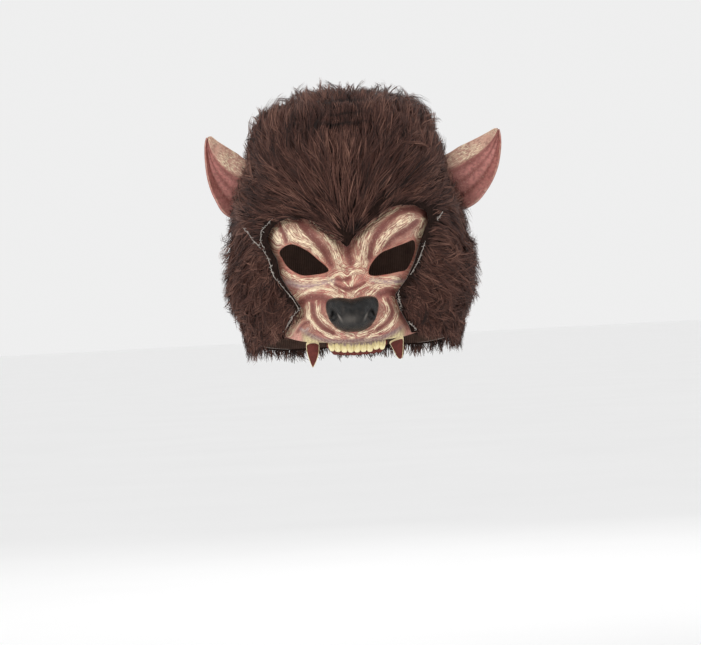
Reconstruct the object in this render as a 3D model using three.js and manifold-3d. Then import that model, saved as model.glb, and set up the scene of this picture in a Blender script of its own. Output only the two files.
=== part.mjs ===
// Werewolf mask: a soft latex half face under a deep fur hood, shown as a head holds it.
// Millimetres, +Z up, the face looks to -Y, the origin is where the crown rests on the head.
import * as THREE from "three";
import Module from "manifold-3d";

const wasm = await Module();
wasm.setup();

// The head that the hood fits: half width, depth to the front and back, and the drop of its rows.
const HEAD_HALF = 79;
const HEAD_FRONT = 93;
const HEAD_BACK = 99;
const HEAD_DROP = 192;

// The walls, and the air kept between the pieces.
const BACKING_WALL = 2;
const LATEX_WALL = 2.2;
const AIR = 0.35;

// The hood's lower rim, in front and at the nape.
const RIM_FRONT = 174;
const RIM_BACK = 184;

// The fur: depth of pile, its thinnest edge at the face and how far in it reaches full depth.
const PILE = 14.5;
const PILE_EDGE = 3.2;
const PILE_FADE = 34;
const PILE_SETBACK = 1.3;
const SEAM_GAP = 1.1;

// The face: its top edge, its drop to the lip, half width, and how far its nose wall stands out.
const FACE_TOP = 77;
const FACE_DROP = 107;
const FACE_HALF = 62;
const FACE_DEPTH = 126;
const TUCK = 6;
const TUCK_AIR = 2.3;
const TUCK_START = 1.2;
const TUCK_BLEND = 8;

// The nose pad, the tooth row and the fangs.
const NOSE_HALF = 19;
const NOSE_TOP = FACE_TOP + 0.645 * FACE_DROP;
const NOSE_DROP = 26;
const NOSE_DEPTH = FACE_DEPTH + 12;
const NOSE_ROOT = FACE_DEPTH - 36;
const TOOTH_COUNT = 9;
const TOOTH_ROW = 43;
const TOOTH_SHIFT = 2;
const TOOTH_DROP = 8;
const TOOTH_THICK = 4.4;
const FANG_WIDTH = 9;
const FANG_THICK = 5;

// The ears: the wall, and how deep the bowl of each is dished.
const EAR_WALL = 2.2;
const EAR_BOWL = 9;
const EAR_ROLL = 6;

// The grids that the forms are worked out on.
const AROUND = 28;
const DOWN = 12;
const FACE_ACROSS = 32;
const FACE_RISE = 29;

// Rows of the head from the crown down, as shares of the head's drop, half width and depths.
const HEAD_ROWS = [
  { down: 0, half: 0, front: 0, back: 0, square: 2.1 },
  { down: 0.016, half: 0.34, front: 0.33, back: 0.34, square: 2.1 },
  { down: 0.067, half: 0.67, front: 0.65, back: 0.67, square: 2.15 },
  { down: 0.156, half: 0.79, front: 0.84, back: 0.86, square: 2.2 },
  { down: 0.271, half: 0.89, front: 0.94, back: 0.96, square: 2.2 },
  { down: 0.396, half: 0.975, front: 0.99, back: 1.0, square: 2.25 },
  { down: 0.521, half: 1.0, front: 1.0, back: 1.0, square: 2.3 },
  { down: 0.646, half: 1.0, front: 0.97, back: 0.95, square: 2.45 },
  { down: 0.781, half: 0.98, front: 0.935, back: 0.83, square: 2.6 },
  { down: 1, half: 0.93, front: 0.9, back: 0.69, square: 2.6 },
];

// Depth of pile down the head, as shares of the full pile.
const PILE_ROWS = [
  { down: 0, depth: 1.08 },
  { down: 0.2, depth: 1.0 },
  { down: 0.5, depth: 1.03 },
  { down: 0.8, depth: 1.0 },
  { down: 1, depth: 0.92 },
];

// Rows of fur locks: where they root down the head, how many go round, and their size.
const LOCK_LIFT = 5.6;
const CROWN_LOCKS = [
  { place: 1.1, count: 6, long: 38, wide: 24 },
  { place: 2.0, count: 8, long: 40, wide: 24 },
  { place: 2.9, count: 10, long: 40, wide: 24 },
  { place: 3.8, count: 11, long: 40, wide: 24 },
  { place: 4.7, count: 12, long: 38, wide: 22 },
  { place: 5.6, count: 11, long: 38, wide: 22 },
  { place: 6.5, count: 11, long: 38, wide: 22 },
  { place: 7.4, count: 11, long: 38, wide: 20 },
  { place: 8.3, count: 11, long: 32, wide: 20 },
];
const CHEEK_FROM = 0.5;
const CHEEK_TO = 2.0;
const CHEEK_LOCKS = [
  { place: 6.0, count: 4, long: 28, wide: 17 },
  { place: 6.7, count: 5, long: 30, wide: 17 },
  { place: 7.4, count: 5, long: 30, wide: 17 },
  { place: 8.0, count: 6, long: 28, wide: 16 },
  { place: 8.4, count: 7, long: 24, wide: 15 },
];

// The opening in the fur round the face, left and right, as shares of half width and drop.
const OPENING = [
  { left: 0.03, leftDown: 0.29, right: 0.0, rightDown: 0.28 },
  { left: 0.075, leftDown: 0.265, right: 0.045, rightDown: 0.235 },
  { left: 0.14, leftDown: 0.225, right: 0.11, rightDown: 0.19 },
  { left: 0.25, leftDown: 0.145, right: 0.25, rightDown: 0.13 },
  { left: 0.39, leftDown: 0.105, right: 0.37, rightDown: 0.078 },
  { left: 0.54, leftDown: 0.072, right: 0.5, rightDown: 0.03 },
  { left: 0.69, leftDown: 0.06, right: 0.65, rightDown: 0.01 },
  { left: 0.83, leftDown: 0.078, right: 0.82, rightDown: 0.014 },
  { left: 0.94, leftDown: 0.13, right: 0.97, rightDown: 0.06 },
  { left: 0.99, leftDown: 0.19, right: 0.99, rightDown: 0.13 },
  { left: 0.96, leftDown: 0.27, right: 0.93, rightDown: 0.2 },
  { left: 0.89, leftDown: 0.34, right: 0.86, rightDown: 0.29 },
  { left: 0.86, leftDown: 0.46, right: 0.78, rightDown: 0.42 },
  { left: 0.77, leftDown: 0.56, right: 0.68, rightDown: 0.53 },
  { left: 0.62, leftDown: 0.7, right: 0.53, rightDown: 0.64 },
  { left: 0.69, leftDown: 0.76, right: 0.57, rightDown: 0.74 },
  { left: 0.84, leftDown: 0.89, right: 0.68, rightDown: 0.87 },
  { left: 0.94, leftDown: 1.2, right: 0.84, rightDown: 1.2 },
];

// The lower lip edge of the face, from the middle out.
const LIP = [
  { across: 0, down: 0.968 },
  { across: 0.38, down: 0.952 },
  { across: 0.62, down: 0.938 },
  { across: 0.86, down: 0.9 },
  { across: 1.15, down: 0.84 },
];

// Forward depth of the face at six stations out from the middle, row by row.
const STATIONS = [0, 0.19, 0.39, 0.58, 0.77, 1];
const FACE_ROWS = [
  { down: 0, mid: 0.757, near: 0.757, inner: 0.75, outer: 0.722, far: 0.66, edge: 0.53 },
  { down: 0.15, mid: 0.77, near: 0.786, inner: 0.794, outer: 0.766, far: 0.69, edge: 0.545 },
  { down: 0.26, mid: 0.782, near: 0.806, inner: 0.81, outer: 0.778, far: 0.7, edge: 0.55 },
  { down: 0.34, mid: 0.782, near: 0.786, inner: 0.762, outer: 0.72, far: 0.665, edge: 0.545 },
  { down: 0.42, mid: 0.778, near: 0.766, inner: 0.722, outer: 0.682, far: 0.63, edge: 0.535 },
  { down: 0.51, mid: 0.802, near: 0.786, inner: 0.738, outer: 0.698, far: 0.632, edge: 0.53 },
  { down: 0.58, mid: 0.857, near: 0.833, inner: 0.77, outer: 0.714, far: 0.628, edge: 0.52 },
  { down: 0.66, mid: 0.944, near: 0.91, inner: 0.81, outer: 0.722, far: 0.62, edge: 0.51 },
  { down: 0.75, mid: 1.0, near: 0.968, inner: 0.857, outer: 0.738, far: 0.615, edge: 0.5 },
  { down: 0.84, mid: 0.992, near: 0.97, inner: 0.889, outer: 0.77, far: 0.62, edge: 0.49 },
  { down: 0.93, mid: 0.96, near: 0.944, inner: 0.893, outer: 0.794, far: 0.63, edge: 0.48 },
  { down: 1.05, mid: 0.925, near: 0.916, inner: 0.88, outer: 0.794, far: 0.635, edge: 0.47 },
];

// Ridges and grooves of the face: a bent line, its half width in millimetres and its height.
const FOLDS = [
  { x0: 0.68, d0: 0.1, x1: 0.4, d1: 0.16, x2: 0.1, d2: 0.3, wide: 3.3, high: 2.4 },
  { x0: 0.74, d0: 0.135, x1: 0.45, d1: 0.195, x2: 0.12, d2: 0.34, wide: 3.2, high: -1.8 },
  { x0: 0.8, d0: 0.16, x1: 0.46, d1: 0.225, x2: 0.1, d2: 0.38, wide: 3.3, high: 2.4 },
  { x0: 0.82, d0: 0.2, x1: 0.5, d1: 0.25, x2: 0.14, d2: 0.42, wide: 3.0, high: -1.8 },
  { x0: 0.86, d0: 0.245, x1: 0.52, d1: 0.275, x2: 0.17, d2: 0.45, wide: 2.8, high: 2.6 },
  { x0: 0.9, d0: 0.13, x1: 0.93, d1: 0.18, x2: 0.88, d2: 0.24, wide: 3.0, high: 1.6 },
  { x0: 0, d0: 0.25, x1: 0, d1: 0.33, x2: 0, d2: 0.4, wide: 2.8, high: -2.0 },
  { x0: -0.17, d0: 0.455, x1: 0, d1: 0.475, x2: 0.17, d2: 0.455, wide: 3.0, high: 1.8 },
  { x0: -0.16, d0: 0.505, x1: 0, d1: 0.525, x2: 0.16, d2: 0.505, wide: 3.0, high: 2.0 },
  { x0: -0.18, d0: 0.555, x1: 0, d1: 0.57, x2: 0.18, d2: 0.555, wide: 3.0, high: 1.8 },
  { x0: 0.8, d0: 0.5, x1: 0.5, d1: 0.51, x2: 0.22, d2: 0.53, wide: 3.2, high: 1.4 },
  { x0: 0.66, d0: 0.625, x1: 0.4, d1: 0.575, x2: 0.15, d2: 0.625, wide: 3.2, high: 2.0 },
  { x0: 0.6, d0: 0.67, x1: 0.42, d1: 0.63, x2: 0.3, d2: 0.66, wide: 3.3, high: -1.8 },
  { x0: 0.32, d0: 0.66, x1: 0.47, d1: 0.76, x2: 0.5, d2: 0.9, wide: 3.3, high: 1.8 },
  { x0: 0.42, d0: 0.66, x1: 0.6, d1: 0.78, x2: 0.64, d2: 0.9, wide: 3.3, high: -1.8 },
  { x0: 0.36, d0: 0.8, x1: 0.34, d1: 0.87, x2: 0.3, d2: 0.95, wide: 2.8, high: 1.2 },
  { x0: 0.2, d0: 0.92, x1: 0.1, d1: 0.93, x2: 0, d2: 0.935, wide: 3.2, high: 1.2 },
];

// The cut eye holes, from the outer corner over the top to the inner corner and back.
const EYES = [
  { side: "left", line: "outer corner", across: 0.85, down: 0.29 },
  { side: "left", line: "lid", across: 0.705, down: 0.25 },
  { side: "left", line: "lid", across: 0.53, down: 0.295 },
  { side: "left", line: "lid", across: 0.41, down: 0.355 },
  { side: "left", line: "inner corner", across: 0.26, down: 0.45 },
  { side: "left", line: "under", across: 0.47, down: 0.475 },
  { side: "left", line: "under", across: 0.61, down: 0.468 },
  { side: "left", line: "under", across: 0.75, down: 0.415 },
  { side: "left", line: "under", across: 0.82, down: 0.35 },
  { side: "right", line: "outer corner", across: 0.795, down: 0.265 },
  { side: "right", line: "lid", across: 0.69, down: 0.282 },
  { side: "right", line: "lid", across: 0.5, down: 0.318 },
  { side: "right", line: "lid", across: 0.37, down: 0.35 },
  { side: "right", line: "lid", across: 0.26, down: 0.417 },
  { side: "right", line: "inner corner", across: 0.22, down: 0.486 },
  { side: "right", line: "under", across: 0.32, down: 0.504 },
  { side: "right", line: "under", across: 0.59, down: 0.483 },
  { side: "right", line: "under", across: 0.7, down: 0.459 },
  { side: "right", line: "under", across: 0.8, down: 0.341 },
];

// The nose pad from the top middle round to the bottom, as shares of its half width and drop.
const NOSE_EDGE = [
  { across: 0, down: 0.08 },
  { across: 0.3, down: 0.03 },
  { across: 0.62, down: 0 },
  { across: 0.93, down: 0.06 },
  { across: 1.0, down: 0.22 },
  { across: 0.97, down: 0.42 },
  { across: 0.82, down: 0.66 },
  { across: 0.56, down: 0.86 },
  { across: 0.28, down: 0.97 },
  { across: 0, down: 1.0 },
];

// Each ear from root to tip: its top edge and its outer edge out from the middle and down,
// how far back it stands, and where the rolled band along the top edge ends.
const EAR_ROWS = {
  ear_left: [
    { topOut: 60, topDown: 34, edgeOut: 74, edgeDown: 82, back: 12, roll: 0.32 },
    { topOut: 76, topDown: 33, edgeOut: 94, edgeDown: 75, back: 12, roll: 0.36 },
    { topOut: 84, topDown: 27.5, edgeOut: 102, edgeDown: 63, back: 11, roll: 0.42 },
    { topOut: 92, topDown: 22, edgeOut: 107, edgeDown: 48, back: 9, roll: 0.48 },
    { topOut: 99, topDown: 17, edgeOut: 108.5, edgeDown: 32, back: 7, roll: 0.55 },
    { topOut: 104.5, topDown: 12, edgeOut: 108.2, edgeDown: 16, back: 5, roll: 0.6 },
  ],
  ear_right: [
    { topOut: 60, topDown: 40, edgeOut: 74, edgeDown: 84, back: 12, roll: 0.28 },
    { topOut: 79, topDown: 37, edgeOut: 98, edgeDown: 77, back: 12, roll: 0.3 },
    { topOut: 91, topDown: 31, edgeOut: 110, edgeDown: 66, back: 11, roll: 0.34 },
    { topOut: 102, topDown: 26.5, edgeOut: 119, edgeDown: 50, back: 9, roll: 0.4 },
    { topOut: 113, topDown: 21.5, edgeOut: 122.5, edgeDown: 34, back: 7, roll: 0.46 },
    { topOut: 120.5, topDown: 17.5, edgeOut: 123, edgeDown: 21, back: 5, roll: 0.5 },
  ],
};

// Each fang: its root and its length, and its place as shares of the face's half width and drop.
const FANGS = {
  fang_left: { side: -1, out: 0.503, down: 0.93, lean: 1.4, long: 20.5 },
  fang_right: { side: 1, out: 0.51, down: 0.921, lean: 1.6, long: 18.5 },
};

const clamp = (value, low, high) => Math.min(high, Math.max(low, value));
const mix = (from, to, share) => from + (to - from) * share;
const ease = (share) => {
  const held = clamp(share, 0, 1);
  return held * held * (3 - 2 * held);
};

/** A smooth value through four neighbours. */
function through(a, b, c, d, share) {
  const square = share * share;
  const cube = square * share;
  const bend = 2 * a - 5 * b + 4 * c - d;
  return 0.5 * (2 * b + (c - a) * share + bend * square + (3 * b - a - 3 * c + d) * cube);
}

/** A table's column at a place between its rows; place counts rows from 0. */
function column(rows, key, place, start) {
  const last = rows.length - 1;
  const held = clamp(place, 0, last - 1e-9);
  const index = Math.floor(held);
  const first = start === undefined ? 2 * rows[0][key] - rows[1][key] : start;
  const before = index > 0 ? rows[index - 1][key] : first;
  const end = 2 * rows[last][key] - rows[last - 1][key];
  const after = index + 2 <= last ? rows[index + 2][key] : end;
  return through(before, rows[index][key], rows[index + 1][key], after, held - index);
}

/** The place between a table's rows where its `down` column reaches a share. */
function placeAt(rows, down) {
  let index = 0;
  while (index < rows.length - 2 && rows[index + 1].down < down) {
    index += 1;
  }
  const span = rows[index + 1].down - rows[index].down;
  return clamp(index + (down - rows[index].down) / span, 0, rows.length - 1);
}

/** A closed solid from points and faces. */
function solid(points, faces) {
  const vertProperties = new Float32Array(points.flat());
  const triVerts = new Uint32Array(faces.flat());
  return new wasm.Manifold(new wasm.Mesh({ numProp: 3, vertProperties, triVerts }));
}

/** An outline of [u, v] pairs pushed straight through, placed by `place(u, v, w)`. */
function prism(outline, low, high, place) {
  const flat = outline.map(([u, v]) => new THREE.Vector2(u, v));
  const turned = THREE.ShapeUtils.isClockWise(flat) ? flat.reverse() : flat;
  const count = turned.length;
  const points = [];
  for (const w of [low, high]) {
    for (const { x, y } of turned) {
      points.push(place(x, y, w));
    }
  }
  const faces = [];
  for (const [a, b, c] of THREE.ShapeUtils.triangulateShape(turned, [])) {
    faces.push([a, c, b], [a + count, b + count, c + count]);
  }
  for (let i = 0; i < count; i += 1) {
    const j = (i + 1) % count;
    faces.push([i, j, j + count], [i, j + count, i + count]);
  }
  return solid(points, faces);
}

const frontPrism = (outline, low, high) => prism(outline, -high, -low, (u, v, w) => [u, -w, v]);
const sidePrism = (outline, low, high) => prism(outline, low, high, (u, v, w) => [w, u, v]);

/** An outline moved out square to its edges. */
function grow(outline, amount) {
  const count = outline.length;
  const area = THREE.ShapeUtils.area(outline.map(([u, v]) => new THREE.Vector2(u, v)));
  const turn = Math.sign(area);
  return outline.map(([u, v], i) => {
    const [pu, pv] = outline[(i + count - 1) % count];
    const [nu, nv] = outline[(i + 1) % count];
    const into = new THREE.Vector2(u - pu, v - pv).normalize();
    const away = new THREE.Vector2(nu - u, nv - v).normalize();
    const first = new THREE.Vector2(into.y, -into.x);
    const normal = first.clone().add(new THREE.Vector2(away.y, -away.x)).normalize();
    const reach = (turn * amount) / Math.max(0.55, normal.dot(first));
    return [u + normal.x * reach, v + normal.y * reach];
  });
}

const faceX = (across) => across * FACE_HALF;
const faceZ = (down) => -FACE_TOP - down * FACE_DROP;

const openingOutline = [
  ...OPENING.map((row) => [faceX(-row.left), faceZ(row.leftDown)]),
  ...OPENING.map((row) => [faceX(row.right), faceZ(row.rightDown)]).reverse(),
];

// The face's own edge runs straight on behind the fur's peak.
const tuckOutline = openingOutline.filter(([x, z]) => Math.abs(x) > 13 || z < faceZ(0.5));

/** How far a front-view point lies inside the opening; outside is below 0. */
function insideOpening(x, z) {
  let nearest = Infinity;
  let inside = false;
  const count = openingOutline.length;
  for (let i = 0; i < count; i += 1) {
    const [ax, az] = openingOutline[i];
    const [bx, bz] = openingOutline[(i + 1) % count];
    const reach = Math.hypot(bx - ax, bz - az) ** 2;
    const share = clamp(((x - ax) * (bx - ax) + (z - az) * (bz - az)) / reach, 0, 1);
    const away = Math.hypot(x - mix(ax, bx, share), z - mix(az, bz, share));
    nearest = Math.min(nearest, away);
    if (az > z !== bz > z && x < ax + ((z - az) / (bz - az)) * (bx - ax)) {
      inside = !inside;
    }
  }
  return inside ? nearest : -nearest;
}

/** A point of the head's surface: place counts the rows, turn goes round from the right. */
function headPoint(place, turn) {
  const half = column(HEAD_ROWS, "half", place, -HEAD_ROWS[1].half) * HEAD_HALF;
  const front = column(HEAD_ROWS, "front", place, -HEAD_ROWS[1].front) * HEAD_FRONT;
  const back = column(HEAD_ROWS, "back", place, -HEAD_ROWS[1].back) * HEAD_BACK;
  const down = column(HEAD_ROWS, "down", place, HEAD_ROWS[1].down) * HEAD_DROP;
  const power = 2 / column(HEAD_ROWS, "square", place);
  const cos = Math.cos(turn);
  const sin = Math.sin(turn);
  const x = half * Math.sign(cos) * Math.abs(cos) ** power;
  const y = (sin < 0 ? front : back) * Math.sign(sin) * Math.abs(sin) ** power;
  return new THREE.Vector3(x, y, -down);
}

/** The outward normal of the head's surface. */
function headNormal(place, turn) {
  if (place < 0.02) {
    return new THREE.Vector3(0, 0, 1);
  }
  const step = 0.02;
  const low = Math.min(place + step, HEAD_ROWS.length - 1);
  const fall = headPoint(low, turn).sub(headPoint(place - step, turn));
  const round = headPoint(place, turn + step).sub(headPoint(place, turn - step));
  return fall.cross(round).normalize();
}

/** The head's front depth at a front-view point, as a y value. */
function headFront(x, z) {
  const place = placeAt(HEAD_ROWS, -z / HEAD_DROP);
  const half = column(HEAD_ROWS, "half", place) * HEAD_HALF;
  const front = column(HEAD_ROWS, "front", place) * HEAD_FRONT;
  const power = column(HEAD_ROWS, "square", place);
  const share = clamp(Math.abs(x) / half, 0, 0.985);
  return -front * (1 - share ** power) ** (1 / power);
}

/** Depth of pile over a point of the head. */
function pileDepth(place, turn) {
  const at = headPoint(place, turn);
  const full = PILE * column(PILE_ROWS, "depth", placeAt(PILE_ROWS, -at.z / HEAD_DROP));
  if (at.y > 0) {
    return full;
  }
  const away = -insideOpening(at.x, at.z);
  const thin = mix(PILE_EDGE, full, ease(away / PILE_FADE));
  const gather = Math.exp(-((at.x / 26) ** 2));
  const high = Math.exp(-(((at.z + 27) / 4.5) ** 2)) * 3.2;
  const low = Math.exp(-(((at.z + 12) / 3.5) ** 2)) * 2.2;
  return thin - gather * (high + low);
}

/** The space under the head's surface moved out by a distance, closed at the bottom. */
function headSpace(distance) {
  const points = [];
  const faces = [];
  const rows = DOWN + 1;
  const lastPlace = HEAD_ROWS.length - 1;
  for (let row = 1; row <= DOWN; row += 1) {
    const place = (row / DOWN) * lastPlace;
    for (let i = 0; i < AROUND; i += 1) {
      const turn = (i / AROUND) * 2 * Math.PI;
      const out = typeof distance === "function" ? distance(place, turn) : distance;
      const at = headPoint(place, turn).addScaledVector(headNormal(place, turn), out);
      points.push(at.toArray());
    }
  }
  const crown = typeof distance === "function" ? distance(0, 0) : distance;
  const top = points.push([0, 0, crown]) - 1;
  const foot = points.push([0, 0, -HEAD_DROP]) - 1;
  for (let i = 0; i < AROUND; i += 1) {
    const j = (i + 1) % AROUND;
    faces.push([top, i, j]);
    for (let row = 0; row < rows - 2; row += 1) {
      const a = row * AROUND + i;
      const b = row * AROUND + j;
      faces.push([a, a + AROUND, b + AROUND], [a, b + AROUND, b]);
    }
    const base = (rows - 2) * AROUND;
    faces.push([foot, base + j, base + i]);
  }
  return solid(points, faces);
}

/** Everything above the hood's rim, moved down by an amount. */
function aboveRim(lower) {
  return sidePrism(
    [
      [-170, -RIM_FRONT - lower],
      [-20, -RIM_FRONT - lower],
      [60, -RIM_BACK - lower],
      [170, -RIM_BACK - lower],
      [170, 60],
      [-170, 60],
    ],
    -170,
    170,
  );
}

/** The side of the hood that a cheek panel covers, from the side; side is -1 or 1. */
function cheekSide(side, margin) {
  const outline = [
    [-140, -108 - margin],
    [-66, -108 - margin],
    [-8, -84 - margin],
    [28 - margin, -84 - margin],
    [34 - margin, -210],
    [-140, -210],
  ];
  return side < 0 ? sidePrism(outline, -170, -0.5) : sidePrism(outline, 0.5, 170);
}

/** The way that the fur lies at a point of the head. */
function furFlow(at, normal, cheek) {
  const flow = new THREE.Vector3();
  if (cheek) {
    flow.set(Math.sign(at.x) * 0.75, 0.45, -0.75);
  } else {
    flow.copy(at).sub(new THREE.Vector3(0, -HEAD_FRONT, -104)).normalize();
    flow.z -= 1.6 * ease((at.y + 10) / 90);
    flow.z -= 0.9 * ease((Math.abs(at.x) - 58) / 20) * ease((-at.z - 70) / 30);
  }
  return flow.addScaledVector(normal, -flow.dot(normal)).normalize();
}

/** A walk over the head from a place and turn the way that the fur lies. */
function walk(from, cheek, distance) {
  const steps = 4;
  const nudge = 0.02;
  let { place, turn } = from;
  for (let i = 0; i < steps; i += 1) {
    const here = headPoint(place, turn);
    const flow = furFlow(here, headNormal(place, turn), cheek);
    const fall = headPoint(place + nudge, turn).sub(here).divideScalar(nudge);
    const round = headPoint(place, turn + nudge).sub(here).divideScalar(nudge);
    const [ff, fr, rr] = [fall.dot(fall), fall.dot(round), round.dot(round)];
    const [af, ar] = [flow.dot(fall), flow.dot(round)];
    const scale = distance / steps / (ff * rr - fr * fr);
    place += (af * rr - ar * fr) * scale;
    turn += (ar * ff - af * fr) * scale;
    place = clamp(place, 0.4, HEAD_ROWS.length - 1);
  }
  return { place, turn };
}

/** A broad tapered lock of fur lying on the pile, rooted in it and lifted at its tip. */
function lock(from, cheek, length, width, lift) {
  const stops = [0, 0.42, 1].map((share) => walk(from, cheek, length * share));
  const at = (stop, side, up) => {
    const { place, turn } = stops[stop];
    const normal = headNormal(place, turn);
    const point = headPoint(place, turn);
    const across = normal.clone().cross(furFlow(point, normal, cheek));
    const deep = BACKING_WALL + pileDepth(place, turn) + up;
    return point.addScaledVector(normal, deep).addScaledVector(across, side).toArray();
  };
  const points = [
    at(0, -width * 0.25, -2.2),
    at(0, width * 0.25, -2.2),
    at(0, 0, -1.2),
    at(1, -width * 0.5, -1.6),
    at(1, width * 0.5, -1.6),
    at(1, 0, lift),
    at(2, 0, lift * 0.6),
  ];
  const faces = [
    [0, 2, 1],
    [0, 1, 4],
    [0, 4, 3],
    [1, 2, 5],
    [1, 5, 4],
    [2, 0, 3],
    [2, 3, 5],
    [3, 4, 6],
    [4, 5, 6],
    [5, 3, 6],
  ];
  const root = headPoint(from.place, from.turn);
  return { body: solid(points, faces), root, tip: new THREE.Vector3(...points[6]) };
}

/** A plain repeating shuffle between 0 and 1. */
function shuffled(index) {
  const value = Math.sin(index * 12.9898) * 43758.5453;
  return value - Math.floor(value);
}

/** True where a side-view point is on the cheek panel's side of the seam. */
function onCheek(point, margin) {
  const seam = mix(-108, -84, clamp((point.y + 66) / 58, 0, 1));
  const rear = mix(28, 34, clamp((-84 - point.z) / 126, 0, 1));
  return point.z < seam + margin && point.y < rear + margin;
}

/** True where an ear stands out of the fur. */
function nearEar(point) {
  return Math.abs(point.x) > 58 && point.y > -12 && point.y < 42 && point.z < -18 && point.z > -90;
}

/** Fuses locks onto a skin of fur, in rows down the head, all on one side of the seam. */
function withLocks(skin, cheek, side) {
  const rows = cheek ? CHEEK_LOCKS : CROWN_LOCKS;
  let fur = skin;
  let index = 0;
  rows.forEach(({ place, count, long, wide }, row) => {
    for (let i = 0; i < count; i += 1) {
      index += 1;
      const spread = (i + 0.5 * (row % 2) + 0.3 * shuffled(index)) / count;
      const sweep = CHEEK_FROM + (CHEEK_TO - CHEEK_FROM) * spread;
      const turn = cheek ? Math.PI * 1.5 + side * sweep : (spread + 0.25) * 2 * Math.PI;
      const length = long * (0.88 + 0.24 * shuffled(index + 50));
      const width = wide * (0.88 + 0.24 * shuffled(index + 90));
      const lift = LOCK_LIFT * (0.7 + 0.6 * shuffled(index + 130));
      const { body, root, tip } = lock({ place, turn }, cheek, length, width, lift);
      const clear = root.y > 0 || insideOpening(root.x, root.z) < -6;
      const open = tip.y > 0 || insideOpening(tip.x, tip.z) < -6;
      const margin = width * 0.5 + 1;
      const here = [root, tip].every((point) =>
        cheek ? onCheek(point, -margin) : !onCheek(point, margin),
      );
      const free = [root, tip].every((point) => !nearEar(point));
      if (clear && open && here && free) {
        fur = fur.add(body);
      }
    }
  });
  return fur;
}

/** Forward depth of the face at a front-view point, folds left out. */
function faceForm(across, down) {
  const place = placeAt(FACE_ROWS, down);
  const keys = ["mid", "near", "inner", "outer", "far", "edge"];
  const values = keys.map((key) => column(FACE_ROWS, key, place));
  const out = Math.abs(across);
  let index = 0;
  while (index < STATIONS.length - 2 && STATIONS[index + 1] < out) {
    index += 1;
  }
  const share = (out - STATIONS[index]) / (STATIONS[index + 1] - STATIONS[index]);
  const before = index > 0 ? values[index - 1] : values[1];
  const after = index + 2 < values.length ? values[index + 2] : 2 * values[5] - values[4];
  return FACE_DEPTH * through(before, values[index], values[index + 1], after, share);
}

/** Distance from a point to a line bent once, each as [x, z]. */
function fromBend(x, z, bend) {
  let nearest = Infinity;
  for (let i = 0; i < 2; i += 1) {
    const [ax, az] = bend[i];
    const [bx, bz] = bend[i + 1];
    const reach = Math.hypot(bx - ax, bz - az) ** 2;
    const share = clamp(((x - ax) * (bx - ax) + (z - az) * (bz - az)) / reach, 0, 1);
    nearest = Math.min(nearest, Math.hypot(x - mix(ax, bx, share), z - mix(az, bz, share)));
  }
  return nearest;
}

/** Height that the folds add at a front-view point. */
function foldHeight(x, z) {
  let height = 0;
  for (const fold of FOLDS) {
    const bend = [
      [faceX(fold.x0), faceZ(fold.d0)],
      [faceX(fold.x1), faceZ(fold.d1)],
      [faceX(fold.x2), faceZ(fold.d2)],
    ];
    const away = fromBend(Math.abs(x), z, bend);
    height += fold.high * Math.exp(-((away / fold.wide) ** 2));
  }
  return height;
}

/** The face's outer surface as a y value: tucked under the hood at its edge. */
function faceSurface(x, z) {
  const under = headFront(x, z) + TUCK_AIR;
  const free = -faceForm(x / FACE_HALF, (-z - FACE_TOP) / FACE_DROP) - foldHeight(x, z);
  const risen = ease((insideOpening(x, z) - TUCK_START) / TUCK_BLEND);
  return mix(under, Math.min(free, under), risen);
}

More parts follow.
